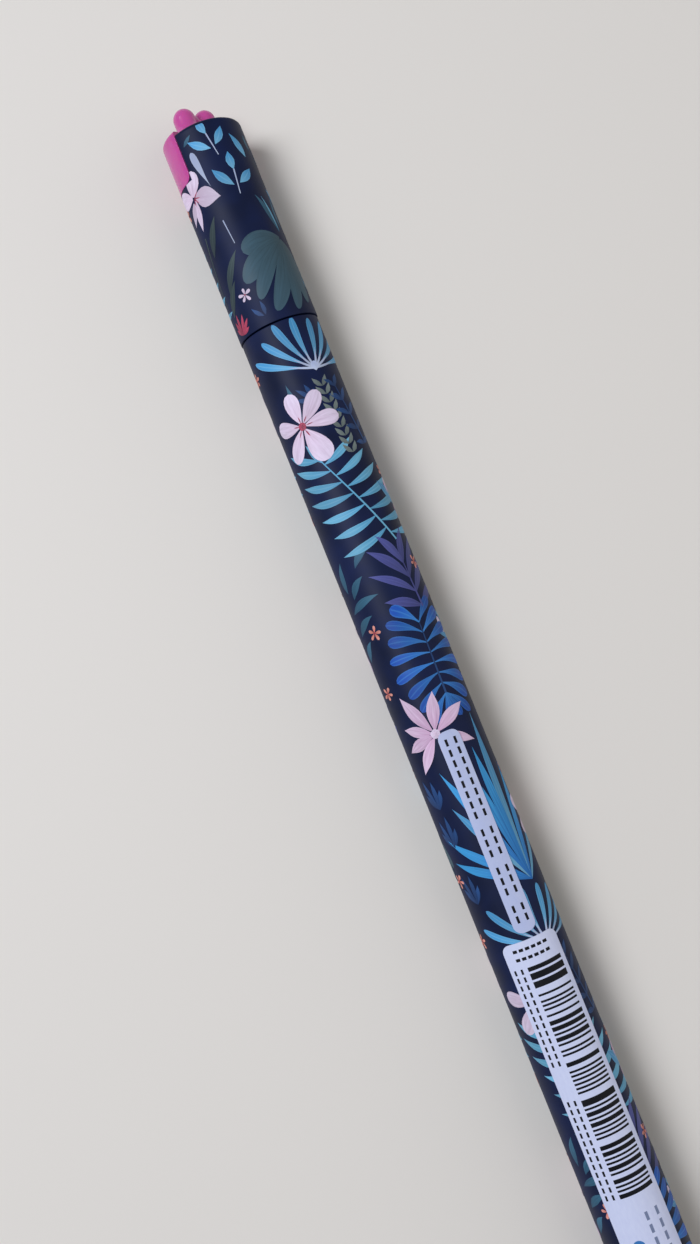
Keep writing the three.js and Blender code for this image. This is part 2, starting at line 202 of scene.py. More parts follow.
def joined(parts: Iterable[bmesh.types.BMesh]) -> bmesh.types.BMesh:
    """Puts several closed bodies into one mesh.

    Args:
        parts: The bodies, which are freed.

    Returns:
        One mesh that holds them all.
    """
    whole = bmesh.new()
    for part in parts:
        carrier = bpy.data.meshes.new("carrier")
        part.to_mesh(carrier)
        part.free()
        whole.from_mesh(carrier)
        bpy.data.meshes.remove(carrier)
    return whole


def thicken(bm: bmesh.types.BMesh, thickness: float) -> None:
    """Gives an open sheet on the round its thickness, straight in towards the pen's axis.

    Args:
        bm: The sheet.
        thickness: Its thickness.
    """
    made = bmesh.ops.extrude_face_region(bm, geom=bm.faces[:], use_keep_orig=True)["geom"]
    for vert in (item for item in made if isinstance(item, bmesh.types.BMVert)):
        out = Vector((0, vert.co.y, vert.co.z - LINES.axis * MM))
        vert.co -= out.normalized() * thickness * MM
    bmesh.ops.recalc_face_normals(bm, faces=bm.faces)


def set_edges(bm: bmesh.types.BMesh, sharper_than: float = 35.0) -> None:
    """Shades the faces smooth and keeps the sharp edges.

    Args:
        bm: The mesh.
        sharper_than: Angle in degrees from which an edge stays sharp.
    """
    limit = math.radians(sharper_than)
    for face in bm.faces:
        face.smooth = True
    for edge in bm.edges:
        edge.smooth = len(edge.link_faces) == 2 and edge.calc_face_angle(0) < limit


def piece(
    bm: bmesh.types.BMesh,
    name: str,
    body: str,
    finishes: list[bpy.types.Material],
    stands_for: tuple[str, ...] = (),
) -> bpy.types.Object:
    """Makes an object of a mesh and ties it to the frame.

    Args:
        bm: The mesh, which is freed.
        name: Name of the piece.
        body: Body that it moves with.
        finishes: Its materials, in the order of its faces' indices.
        stands_for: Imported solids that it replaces.

    Returns:
        The finished object.
    """
    set_edges(bm)
    mesh = bpy.data.meshes.new(name)
    bm.to_mesh(mesh)
    bm.free()
    for finish in finishes:
        mesh.materials.append(finish)
    made = bpy.data.objects.new(name, mesh)
    bpy.context.scene.collection.objects.link(made)
    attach(made, body)
    if stands_for:
        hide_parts(*stands_for)
    log.info("%s: %d faces, moves with %s", name, len(mesh.polygons), body)
    return made


def wrapped_plate(
    along: tuple[float, float],
    around: tuple[float, float],
    radius: float,
    reference: float,
    corner: float = 0.0,
    step: float = 0.4,
) -> bmesh.types.BMesh:
    """A rectangle laid on the skin, with rounded corners if wanted.

    Args:
        along: Where it begins and ends down the pen.
        around: Where it begins and ends round the skin.
        radius: Radius of its surface.
        reference: Radius that `around` is measured on.
        corner: Radius of its corners.
        step: Largest step round the skin.

    Returns:
        An open sheet that faces outwards.
    """
    bm = bmesh.new()
    length, width = along[1] - along[0], around[1] - around[0]
    columns = max(2, math.ceil(width / step))
    rows = max(2, math.ceil(length / step)) if corner else 2
    bmesh.ops.create_grid(bm, x_segments=columns, y_segments=rows, size=1.0)
    middle = (around[0] + around[1]) / 2
    for vert in bm.verts:
        share = (1 - math.cos((vert.co.y + 1) / 2 * math.pi)) / 2 if corner else (vert.co.y + 1) / 2
        place = along[0] + length * share
        inset = corner_inset(min(place - along[0], along[1] - place), corner)
        across = middle - vert.co.x * (width / 2 - inset)
        vert.co = LINES.wrap(place, across, radius, reference)
    return bm


def corner_inset(distance: float, corner: float) -> float:
    """How far a rounded corner draws an edge in.

    Args:
        distance: Distance from the end of the plate.
        corner: Radius of the corner.

    Returns:
        The inset there.
    """
    if distance >= corner:
        return 0.0
    return corner - math.sqrt(corner**2 - (corner - distance) ** 2)


# ---------- Finishes ----------
def linear(code: str) -> Colour:
    """Turns an sRGB hex value such as "#8FC3DC" into a linear colour.

    Args:
        code: The hex value.

    Returns:
        Red, green, blue and an alpha of 1.
    """
    channels = [int(code[i:i + 2], 16) / 255 for i in (1, 3, 5)]
    red, green, blue = (c / 12.92 if c <= 0.04045 else ((c + 0.055) / 1.055) ** 2.4 for c in channels)
    return red, green, blue, 1.0


def add_node(
    tree: bpy.types.NodeTree, kind: str, settings: dict | None = None, inputs: dict | None = None
) -> bpy.types.Node:
    """Adds a node.

    Args:
        tree: Node tree of a material.
        kind: Blender's name for the kind of node.
        settings: Values of the node itself.
        inputs: Sockets by name or number, each with a value or with the output that feeds it.

    Returns:
        The node.
    """
    node = tree.nodes.new(kind)
    for name, value in (settings or {}).items():
        setattr(node, name, value)
    for name, value in (inputs or {}).items():
        if isinstance(value, bpy.types.NodeSocket):
            tree.links.new(value, node.inputs[name])
        else:
            node.inputs[name].default_value = value
    return node


def new_material(
    name: str, **shader_values: float
) -> tuple[bpy.types.Material, bpy.types.NodeTree, bpy.types.Node]:
    """Starts a material.

    Args:
        name: The material's name.
        **shader_values: Values for the shader's own sockets, with _ for a space.

    Returns:
        The material, its node tree and its Principled shader.
    """
    material = bpy.data.materials.new(name)
    material.use_nodes = True
    shader = material.node_tree.nodes["Principled BSDF"]
    for key, value in shader_values.items():
        shader.inputs[key.replace("_", " ")].default_value = value
    return material, material.node_tree, shader


def grain(
    tree: bpy.types.NodeTree,
    size: float,
    stretch: tuple[float, float, float] = (1, 1, 1),
    detail: float = 3.0,
) -> bpy.types.NodeSocket:
    """Noise of a real size on the piece.

    Args:
        tree: Node tree of a material.
        size: Size of a grain.
        stretch: How much closer the grain lies along X, Y and Z.
        detail: Finer steps within the grain.

    Returns:
        The noise's factor output.
    """
    place = add_node(tree, "ShaderNodeTexCoord").outputs["Object"]
    scale = tuple(share / (size * MM) for share in stretch)
    sized = add_node(tree, "ShaderNodeMapping", {}, {"Vector": place, "Scale": scale})
    noise = add_node(
        tree, "ShaderNodeTexNoise", {},
        {"Vector": sized.outputs[0], "Scale": 1.0, "Detail": detail, "Roughness": 0.55},
    )
    return noise.outputs["Fac"]


def spread(
    tree: bpy.types.NodeTree,
    source: bpy.types.NodeSocket,
    low: float,
    high: float,
    spread_from: Place = (0.3, 0.7),
) -> bpy.types.NodeSocket:
    """Spreads a factor between two values.

    Args:
        tree: Node tree of a material.
        source: The factor.
        low: Value at the low end.
        high: Value at the high end.
        spread_from: The factor's own low and high end.

    Returns:
        The output that holds the value.
    """
    from_low, from_high = spread_from
    ranged = add_node(
        tree, "ShaderNodeMapRange", {},
        {"Value": source, "From Min": from_low, "From Max": from_high, "To Min": low, "To Max": high},
    )
    return ranged.outputs[0]


def blend_colours(
    tree: bpy.types.NodeTree,
    factor: bpy.types.NodeSocket,
    first: Colour | bpy.types.NodeSocket,
    second: Colour,
) -> bpy.types.NodeSocket:
    """Mixes two colours.

    Args:
        tree: Node tree of a material.
        factor: Share of the second colour.
        first: The first colour, or the output that holds it.
        second: The second colour.

    Returns:
        The output that holds the mixed colour.
    """
    mixed = add_node(tree, "ShaderNodeMix", {"data_type": "RGBA"}, {0: factor, 6: first, 7: second})
    return mixed.outputs[2]


def bump(
    tree: bpy.types.NodeTree, shader: bpy.types.Node, height: bpy.types.NodeSocket, depth: float
) -> None:
    """Gives a shader a bump of a real depth.

    Args:
        tree: Node tree of a material.
        shader: Its shader.
        height: The output that holds the height, from 0 to 1.
        depth: Depth of the relief.
    """
    made = add_node(tree, "ShaderNodeBump", {}, {"Height": height, "Distance": depth * MM, "Strength": 1.0})
    tree.links.new(made.outputs[0], shader.inputs["Normal"])


def finish_surface(
    tree: bpy.types.NodeTree,
    shader: bpy.types.Node,
    colours: tuple[bpy.types.NodeSocket, str, str],
    roughness: bpy.types.NodeSocket,
) -> None:
    """Feeds a shader's colour and roughness from patterns.

    Args:
        tree: Node tree of a material.
        shader: Its shader.
        colours: The share of the second colour, and the two colours as hex.
        roughness: The output that holds the roughness.
    """
    share, first, second = colours
    tree.links.new(blend_colours(tree, share, linear(first), linear(second)), shader.inputs["Base Color"])
    tree.links.new(roughness, shader.inputs["Roughness"])


@dataclass(frozen=True)
class MouldedPlastic:
    """Injection-moulded or lacquered plastic, with a fine spark-eroded grain and soft flow clouds."""

    name: str
    colour: str
    cloud: str
    roughness: float
    grain_size: float = 0.09
    grain_depth: float = 0.004
    cloud_size: float = 5.0
    subsurface: float = 0.0
    specular: float = 0.5

    def material(self) -> bpy.types.Material:
        """Builds the material.

        Returns:
            The material.
        """
        material, tree, shader = new_material(self.name, Specular_IOR_Level=self.specular)
        if self.subsurface:
            shader.inputs["Subsurface Weight"].default_value = self.subsurface
            shader.inputs["Subsurface Scale"].default_value = MM
        fine = grain(tree, self.grain_size)
        clouds = grain(tree, self.cloud_size, detail=2.0)
        share = spread(tree, clouds, 0.0, 1.0)
        handled = spread(tree, clouds, self.roughness - 0.04, self.roughness + 0.05)
        finish_surface(tree, shader, (share, self.colour, self.cloud), handled)
        bump(tree, shader, fine, self.grain_depth)
        return material


@dataclass(frozen=True)
class Elastomer:
    """Soft rubber or foam: chalky, speckled and dull, so that it takes the light without a highlight."""

    name: str
    colour: str
    speck: str
    cell_size: float = 0.25
    cell_depth: float = 0.03
    roughness: float = 0.85

    def material(self) -> bpy.types.Material:
        """Builds the material.

        Returns:
            The material.
        """
        material, tree, shader = new_material(self.name, Specular_IOR_Level=0.3)
        cells = grain(tree, self.cell_size, detail=4.0)
        dust = spread(tree, grain(tree, self.cell_size * 4, detail=5.0), 0.0, 1.0, (0.52, 0.66))
        rough = spread(tree, cells, self.roughness - 0.08, self.roughness + 0.08)
        finish_surface(tree, shader, (dust, self.colour, self.speck), rough)
        bump(tree, shader, cells, self.cell_depth)
        return material


@dataclass(frozen=True)
class TurnedMetal:
    """Metal cut on a lathe: fine rings round the axis draw the highlight out across the piece."""

    name: str
    colour: str
    ring: str
    roughness: float
    ring_pitch: float = 0.05

    def material(self) -> bpy.types.Material:
        """Builds the material.

        Returns:
            The material.
        """
        material, tree, shader = new_material(self.name, Metallic=1.0)
        rings = grain(tree, self.ring_pitch, stretch=(1.0, 0.01, 0.01), detail=2.0)
        share = spread(tree, rings, 0.0, 1.0)
        rough = spread(tree, rings, self.roughness - 0.07, self.roughness + 0.07)
        finish_surface(tree, shader, (share, self.colour, self.ring), rough)
        bump(tree, shader, rings, 0.002)
        return material


@dataclass(frozen=True)
class ClearPlastic:
    """Extruded clear tube, grease or gel: light passes through it, tinted, with faint draw lines."""

    name: str
    colour: str
    streak: str
    roughness: float
    transmission: float
    ior: float = 1.5

    def material(self) -> bpy.types.Material:
        """Builds the material.

        Returns:
            The material.
        """
        material, tree, shader = new_material(
            self.name, IOR=self.ior, Transmission_Weight=self.transmission
        )
        lines = grain(tree, 0.3, stretch=(0.05, 1, 1))
        share = spread(tree, lines, 0.0, 1.0)
        rough = spread(tree, lines, self.roughness, self.roughness + 0.08)
        finish_surface(tree, shader, (share, self.colour, self.streak), rough)
        return material


@dataclass(frozen=True)
class LabelStock:
    """Coated label stock: a faint fibre under a satin coat, so it looks flat and a little cool."""

    name: str
    colour: str
    fibre: str
    roughness: float
    alpha: float = 1.0
    fibre_size: float = 0.35

    def material(self) -> bpy.types.Material:
        """Builds the material.

        Returns:
            The material.
        """
        material, tree, shader = new_material(self.name, Alpha=self.alpha)
        fibres = grain(tree, self.fibre_size, stretch=(0.4, 1, 1), detail=5.0)
        share = spread(tree, fibres, 0.0, 1.0)
        rough = spread(tree, fibres, self.roughness - 0.05, self.roughness + 0.06)
        finish_surface(tree, shader, (share, self.colour, self.fibre), rough)
        bump(tree, shader, fibres, 0.003)
        return material


@dataclass(frozen=True)
class Ink:
    """Screen-printed gouache-like ink: brushed from foot to tip, with a rib and a thin dry edge."""

    name: str
    foot: str
    tip: str
    rib: str
    rib_share: float = 0.5
    edge_share: float = 0.35
    roughness: float = 0.52

    def material(self) -> bpy.types.Material:
        """Builds the material.

        Returns:
            The material.
        """
        material, tree, shader = new_material(self.name, Specular_IOR_Level=0.25)
        across, along, shade = (
            add_node(tree, "ShaderNodeAttribute", {"attribute_name": name}).outputs["Fac"]
            for name in ("across", "along", "shade")
        )
        place = add_node(tree, "ShaderNodeCombineXYZ", {}, {"X": across, "Y": along, "Z": shade})
        stroke = add_node(
            tree, "ShaderNodeVectorMath", {"operation": "MULTIPLY"},
            {0: place.outputs[0], 1: (3.5, 1.6, 60.0)},
        )
        brush = add_node(
            tree, "ShaderNodeTexNoise", {},
            {"Vector": stroke.outputs[0], "Scale": 1.0, "Detail": 6.0, "Roughness": 0.62},
        ).outputs["Fac"]
        drawn = add_node(
            tree, "ShaderNodeMath", {"operation": "MULTIPLY_ADD"},
            {0: brush, 1: 0.9, 2: along},
        ).outputs[0]
        reach = spread(tree, drawn, 0.0, 1.0, (0.3, 1.25))
        colour = blend_colours(tree, reach, linear(self.foot), linear(self.tip))
        aside = add_node(tree, "ShaderNodeMath", {"operation": "ABSOLUTE"}, {0: across}).outputs[0]
        rib = spread(tree, aside, self.rib_share, 0.0, (0.03, 0.2))
        colour = blend_colours(tree, rib, colour, linear(self.rib))
        dry = spread(tree, aside, 0.0, self.edge_share, (0.72, 1.0))
        colour = blend_colours(tree, dry, colour, linear(self.rib))
        worked = add_node(tree, "ShaderNodeMath", {"operation": "ADD"}, {0: brush, 1: shade}).outputs[0]
        toned = add_node(
            tree, "ShaderNodeHueSaturation", {},
            {"Color": colour, "Value": spread(tree, worked, 0.72, 1.22, (0.55, 1.35))},
        )
        tree.links.new(toned.outputs[0], shader.inputs["Base Color"])
        tree.links.new(
            spread(tree, brush, self.roughness - 0.06, self.roughness + 0.08), shader.inputs["Roughness"]
        )
        bump(tree, shader, grain(tree, 0.08), 0.003)
        return material


# Soft-touch lacquer over polypropylene: a fine rubbery grain turns highlights into a broad dull glow
SKIN = MouldedPlastic(
    "soft_touch_lacquer_midnight", "#0B1531", "#101D44", 0.5, grain_size=0.12, specular=0.16
)
# Moulded polypropylene in orchid pink: satin, with a clear highlight on each rounded top
ORCHID = MouldedPlastic("moulded_polypropylene_orchid", "#BC4790", "#C6529B", 0.17, subsurface=0.08)
# Moulded ABS in warm yellow: a small bright bead
YELLOW = MouldedPlastic("moulded_abs_yellow", "#EDBE4E", "#F2CB66", 0.32)
# Natural polypropylene: slightly waxy white liner, seen in the cap's mouth
NATURAL = MouldedPlastic("natural_polypropylene", "#E4E4DF", "#DADAD6", 0.42, subsurface=0.2)
# Moulded ABS in navy: satin nose and tail plug
NAVY = MouldedPlastic("moulded_abs_navy", "#18223F", "#1C284A", 0.36, grain_size=0.1)
# Thermoplastic elastomer: soft, dull seal
SEAL = Elastomer("thermoplastic_elastomer_seal", "#D9D3C4", "#CFC8B8", cell_size=0.4, cell_depth=0.01)
# Vinyl eraser: chalky pink, a little greyed where it has been handled
ERASER = Elastomer("vinyl_eraser_pink", "#D684B3", "#C179A4", cell_size=0.18, cell_depth=0.02)
# Polyethylene foam: open dull cells
FOAM = Elastomer("polyethylene_foam_grey", "#97979D", "#83838A", cell_size=0.5, cell_depth=0.12)
# Coated paper: satin white with a cool cast
PAPER = LabelStock("coated_paper_white", "#CDD3EC", "#C6CCE8", 0.38)
# Milky polypropylene film: lets the print below show through faintly
FILM = LabelStock("milky_polypropylene_film", "#C3CCEC", "#BCC6EA", 0.3, alpha=0.84)
# Extruded polypropylene tube: clear, with faint draw lines
TUBE = ClearPlastic("extruded_polypropylene_clear", "#E6ECF0", "#DCE4EA", 0.18, 0.85)
# Follower grease: pale yellow and cloudy
GREASE = ClearPlastic("follower_grease_yellow", "#E9DFB4", "#E0D49C", 0.35, 0.5, ior=1.46)
# Gel ink: dense dark blue
GEL = ClearPlastic("gel_ink_blue", "#1B2F8F", "#16277A", 0.2, 0.0, ior=1.36)
# Nickel silver, turned: warm grey with a drawn-out highlight
NICKEL = TurnedMetal("turned_nickel_silver", "#C9C4B8", "#B8B2A4", 0.28)
# Stainless spring wire, drawn: fine lines
WIRE = TurnedMetal("drawn_stainless_wire", "#B7BABD", "#A7AAAD", 0.3)
# Tungsten carbide, ground: dark and nearly mirror smooth
CARBIDE = TurnedMetal("ground_tungsten_carbide", "#8D9096", "#84878D", 0.16, ring_pitch=0.01)
# Label inks lie almost flat on the stock
INK_GRAIN = 0.06
INK_RELIEF = 0.001
# Label ink: plain dense black bars and dashes
BLACK = MouldedPlastic(
    "thermal_label_ink_black", "#07080E", "#0B0C14", 0.5, INK_GRAIN, INK_RELIEF, specular=0.2
)
# Label ink: plain mid blue dot, and grey-blue dashes
BLUE_DOT = MouldedPlastic("label_ink_blue", "#2E6FB0", "#3478B8", 0.5, INK_GRAIN, INK_RELIEF)
GREY_DASH = MouldedPlastic("label_ink_grey", "#6C7898", "#75819F", 0.5, INK_GRAIN, INK_RELIEF)


class PrintInk(Enum):
    """The print's inks. Each is screen-printed, with its own foot, tip and rib colours."""

    SKY = Ink("printed_ink_sky", "#7DBCDD", "#4A9CD2", "#92C8E2", rib_share=0.35)
    FERN = Ink("printed_ink_fern", "#4C9CC8", "#6DB2D2", "#88C3DC")
    ROYAL = Ink("printed_ink_royal", "#3E8AD0", "#1650AE", "#4E97D8", rib_share=0.35)
    AZURE = Ink("printed_ink_azure", "#1E5FB4", "#3FA0DC", "#2F86D0", rib_share=0.4)
    INDIGO = Ink("printed_ink_indigo", "#41457C", "#4D5294", "#5F64A4", rib_share=0.3)
    DEEP = Ink("printed_ink_deep", "#18305C", "#244A80", "#2C568E", rib_share=0.4)
    TEAL = Ink("printed_ink_teal", "#234A66", "#3A6C86", "#2F5F7A", rib_share=0.4)
    OLIVE = Ink("printed_ink_olive", "#2C3A42", "#3B4B4E", "#4A5B5C", rib_share=0.5)
    SLATE = Ink("printed_ink_slate", "#3C545E", "#405D6C", "#425F6C", rib_share=0.0, edge_share=0.0)
    BLUSH = Ink("printed_ink_blush", "#D9BFD6", "#E0D0E6", "#CBAFCD", rib_share=0.2, edge_share=0.1)
    ROSE = Ink("printed_ink_rose", "#CDA0C4", "#DEC2DC", "#E2CCE2", rib_share=0.3)
    CRIMSON = Ink("printed_ink_crimson", "#7E2040", "#B43C5A", "#D07A8C", rib_share=0.4)
    CORAL = Ink("printed_ink_coral", "#C9574A", "#E59A8C", "#EDB4A6")
    LILAC = Ink("printed_ink_lilac", "#C4CFE6", "#AEBBDD", "#D2DAEC", rib_share=0.1)
    DUSK = Ink("printed_ink_dusk", "#5F6C6C", "#7A8684", "#8E9894", rib_share=0.3)


# ---------- The print ----------
class Blade(Enum):
    """How a leaf or petal widens from its foot and closes at its tip."""

    POINTED = "pointed"
    PETAL = "petal"
    PADDLE = "paddle"
    STEM = "stem"

    def width_share(self, run: float, widest: float, neck: float) -> float:
        """Share of the full width.

        Args:
            run: Share of the way from foot to tip.
            widest: Where the blade is widest.
            neck: Share of the width at the foot.

        Returns:
            The width there, as a share of the widest.
        """
        if self is Blade.STEM:
            return neck + (1 - neck) * run
        if run < widest:
            rise = run / widest
            eased = rise * rise * (3 - 2 * rise)
            grown = eased if self is Blade.PADDLE else math.sin(rise * math.pi / 2)
            return neck + (1 - neck) * grown
        fall = (run - widest) / (1 - widest)
        if self is Blade.POINTED:
            return math.cos(fall * math.pi / 2) ** 1.15
        return math.sqrt(max(0.0, 1 - fall * fall))


def heading(degrees: float) -> Vector:
    """Direction on the unrolled skin: 0 is towards the cap, 90 is round the skin towards +Y."""
    angle = math.radians(degrees)
    return Vector((math.cos(angle), math.sin(angle)))


@dataclass
class PrintSheet:
    """A print of thin ink shapes that lies on a round skin."""

    radius: float
    seed: int
    ink_lift: float = 0.012
    layer_lift: float = 0.008
    ink_depth: float = 0.02
    step: float = 0.38
    shift: float = 0.0
    end_crowding: float = 0.65
    bm: bmesh.types.BMesh = field(init=False)
    rng: random.Random = field(init=False)
    values: dict[str, bmesh.types.BMLayerItem] = field(init=False)

    def __post_init__(self) -> None:
        """Starts an empty mesh, with the values that the inks read on each point."""
        self.bm = bmesh.new()
        self.rng = random.Random(self.seed)
        layers = self.bm.verts.layers.float
        self.values = {name: layers.new(name) for name in ("across", "along", "shade")}

    def blade(
        self,
        foot: Place,
        tip: Place,
        width: float,
        ink: PrintInk,
        layer: int = 1,
        form: Blade = Blade.POINTED,
        bend: float = 0.0,
        widest: float = 0.45,
        neck: float = 0.0,
        tone: float | None = None,
    ) -> None:
        """Prints one leaf, petal or stem.

        Args:
            foot: Where it starts, (along, around).
            tip: Where it ends.
            width: Its widest.
            ink: Its ink.
            layer: How many inks lie below it.
            form: How its width runs.
            bend: How far its middle bows towards its left.
            widest: Where it is widest, as a share of its length.
            neck: Share of the width at its foot.
            tone: How light it is, from 0 to 0.5. Left to chance if not given.
        """
        start, end = Vector(foot), Vector(tip)
        run = end - start
        left = Vector((-run.y, run.x)).normalized()
        pull = (start + end) / 2 + left * bend * 2
        rows = max(5, math.ceil(run.length / self.step))
        columns = 2 * max(1, math.ceil(width / self.step / 2))
        made = bmesh.ops.create_grid(self.bm, x_segments=columns, y_segments=rows, size=1.0)["verts"]
        chance = self.rng.uniform(0.0, 0.5)
        shade = chance if tone is None else tone
        surface = self.radius + self.ink_lift + self.layer_lift * layer
        for vert in made:
            across = vert.co.x
            even = (vert.co.y + 1) / 2
            eased = (1 - math.cos(even * math.pi)) / 2
            share = (1 - self.end_crowding) * even + self.end_crowding * eased
            centre = start.lerp(pull, share).lerp(pull.lerp(end, share), share)
            ahead = (pull - start).lerp(end - pull, share).normalized()
            right = Vector((ahead.y, -ahead.x))
            half = width / 2 * form.width_share(share, widest, neck)
            place = centre + right * across * half
            vert[self.values["across"]] = across
            vert[self.values["along"]] = share
            vert[self.values["shade"]] = shade
            vert.co = LINES.wrap(place.x + self.shift, place.y, surface, self.radius)
        index = list(PrintInk).index(ink)
        for face in {face for vert in made for face in vert.link_faces}:
            face.material_index = index
        bmesh.ops.remove_doubles(self.bm, verts=made, dist=0.002 * MM)

    def vary(self, amount: float) -> float:
        """A number near 1, up to an amount either side."""
        return 1 + self.rng.uniform(-amount, amount)

    def stem(
        self, foot: Place, tip: Place, width: float, ink: PrintInk, layer: int = 1, bend: float = 0.0
    ) -> None:
        """Prints a thin stem that narrows to its foot."""
        self.blade(foot, tip, width, ink, layer, Blade.STEM, bend, neck=0.55)

    def leaf(
        self, foot: Vector, aim: float, length: float, width: float, ink: PrintInk, layer: int = 1,
        **more: float | Blade,
    ) -> None:
        """Prints a blade by its heading and length.

        Args:
            foot: Where it starts.
            aim: Its heading in degrees.
            length: Its length.
            width: Its widest.
            ink: Its ink.
            layer: How many inks lie below it.
            **more: What else blade() takes.
        """
        tip = foot + heading(aim) * length
        self.blade(tuple(foot), tuple(tip), width, ink, layer, **more)

    def sprig(self, foot: Place, aim: float, size: float, ink: PrintInk, layer: int = 1) -> None:
        """Prints a stalk with three leaves: one ahead and one to each side.

        Args:
            foot: Where the stalk starts.
            aim: Its heading in degrees.
            size: Length of the stalk.
            ink: Ink of the leaves.
            layer: How many inks lie below it.
        """
        start = Vector(foot)
        along = heading(aim)
        self.stem(foot, tuple(start + along * size), 0.17, PrintInk.LILAC, layer)
        blade = {"width": size * 0.34, "ink": ink, "layer": layer + 1, "widest": 0.5}
        self.leaf(start + along * size * 0.97, aim + 5, size * 0.72, bend=0.02 * size, **blade)
        left = start + along * size * 0.36 + heading(aim + 90) * size * 0.13
        self.leaf(left, aim + 43, size * 1.02, bend=0.04 * size, **blade)
        right = start + along * size * 0.42 + heading(aim - 90) * size * 0.1
        self.leaf(right, aim - 45, size * 0.86, bend=-0.04 * size, **blade)

    def fern(
        self, foot: Place, tip: Place, pairs: int, reach: float, ink: PrintInk, layer: int = 1,
        sweep: float = 96.0, lean: float = 24.0,
    ) -> None:
        """Prints a fern: a rachis with curved leaflets on both sides that sweep towards its tip.

        Args:
            foot: Where the rachis starts.
            tip: Where it ends.
            pairs: Leaflets on each side.
            reach: Length of the longest leaflet.
            ink: Its ink.
            layer: How many inks lie below it.
            sweep: Angle between leaflets and rachis at the foot, in degrees.
            lean: Angle by which all the leaflets hang to the rachis's right, in degrees.
        """
        start, run = Vector(foot), Vector(tip) - Vector(foot)
        aim = math.degrees(math.atan2(run.y, run.x))
        self.stem(tip, foot, 0.24, ink, layer + 2)
        for i in range(pairs):
            share = (i + 0.6) / pairs
            length = reach * (1 - 0.28 * share) * self.vary(0.06)
            off = sweep * (1 - 0.36 * share)
            hang = lean * (0.55 + 0.45 * share)
            for side in (1, -1):
                self.leaf(
                    start + run * (share + (side + 1) * 0.03), aim - hang + side * off, length,
                    reach * 0.14, ink, layer + i % 2, bend=side * length * 0.07, widest=0.58, neck=0.08,
                )
        self.leaf(start + run * 0.96, aim, reach * 0.45, reach * 0.13, ink, layer)

    def fan(
        self, foot: Place, aim: float, count: int, opening: float, reach: float, ink: PrintInk,
        layer: int = 1,
    ) -> None:
        """Prints a fan leaf: paddle lobes on thin stalks from one foot.

        Args:
            foot: Where the stalks meet.
            aim: Heading of the middle lobe in degrees.
            count: Number of lobes.
            opening: Angle between the outer lobes in degrees.
            reach: Length of the longest lobe.
            ink: Ink of the lobes.
            layer: How many inks lie below it.
        """
        start = Vector(foot)
        for i in range(count):
            share = i / (count - 1)
            turn = opening * (0.5 - share)
            length = reach * (0.82 + 0.18 * abs(math.sin(math.radians(turn)))) * self.vary(0.05)
            bend = 0.045 * length * math.copysign(1, turn)
            end = start + heading(aim + turn) * length
            self.blade(
                foot, tuple(end), reach * 0.112, ink, layer + i % 2, Blade.PADDLE, bend,
                widest=0.8, neck=0.04,
            )
            stalk_end = start.lerp(end, 0.42) + heading(aim + turn + 90) * bend * 0.97
            self.blade(
                foot, tuple(stalk_end), 0.26, PrintInk.LILAC, layer + 2, bend=bend * 0.25,
                widest=0.3, neck=0.7,
            )
        knot = start - heading(aim) * 0.3
        self.leaf(knot, aim, 1.2, 1.0, PrintInk.LILAC, layer + 3, form=Blade.PETAL, widest=0.5)

    def braid(self, foot: Place, tip: Place, pitch: float, ink: PrintInk, layer: int = 1) -> None:
        """Prints a plaited stalk of small leaves in pairs.

        Args:
            foot: Where it starts.
            tip: Where it ends.
            pitch: Distance between the pairs.
            ink: Its ink.
            layer: How many inks lie below it.
        """
        start, run = Vector(foot), Vector(tip) - Vector(foot)
        aim = math.degrees(math.atan2(run.y, run.x))
        for i in range(int(run.length / pitch)):
            at = start + run.normalized() * pitch * i
            for side in (1, -1):
                self.leaf(
                    at, aim + side * 36, pitch * 1.45, pitch * 0.55, ink, layer + i % 2, bend=side * 0.1
                )

    def blossom(
        self, centre: Place, petals: Iterable[tuple[float, float, float]], ink: PrintInk,
        heart: PrintInk, layer: int = 4, form: Blade = Blade.PETAL,
    ) -> None:
        """Prints an open flower petal by petal.

        Args:
            centre: Its middle.
            petals: Heading in degrees, length and width of each petal.
            ink: Ink of the petals.
            heart: Ink of the middle.
            layer: How many inks lie below it.
            form: How the petals widen.
        """
        middle = Vector(centre)
        longest = 0.0
        least_veined = 2.0
        for i, (turn, length, width) in enumerate(petals):
            longest = max(longest, length)
            start = middle + heading(turn) * length * 0.1
            self.leaf(
                start, turn, length * 0.9, width, ink, layer + i % 2, form=form, neck=0.14,
                widest=0.68 if form is Blade.PETAL else 0.5, bend=self.rng.uniform(-0.03, 0.03) * length,
            )
            if form is Blade.PETAL and length > least_veined:
                self.leaf(start, turn, length * 0.2, width * 0.07, PrintInk.CRIMSON, layer + 2)
        size = longest * 0.1
        for turn in range(0, 360, 72):
            self.leaf(
                middle, turn, size, size * 1.1, heart, layer + 2, form=Blade.PETAL, widest=0.6, neck=0.4
            )

    def flower(
        self, centre: Place, aim: float, petals: int, reach: float, width: float, ink: PrintInk,
        heart: PrintInk, layer: int = 4, form: Blade = Blade.PETAL,
    ) -> None:
        """Prints an open flower with its petals evenly round it.

        Args:
            centre: Its middle.
            aim: Heading of the first petal in degrees.
            petals: Number of petals.
            reach: Length of a petal.
            width: Width of a petal.
            ink: Ink of the petals.
            heart: Ink of the middle.
            layer: How many inks lie below it.
            form: How the petals widen.
        """
        ring = []
        for i in range(petals):
            turn = aim + i * 360 / petals + self.rng.uniform(-5, 5)
            ring.append((turn, reach * self.vary(0.1), width * self.vary(0.1)))
        self.blossom(centre, ring, ink, heart, layer, form)

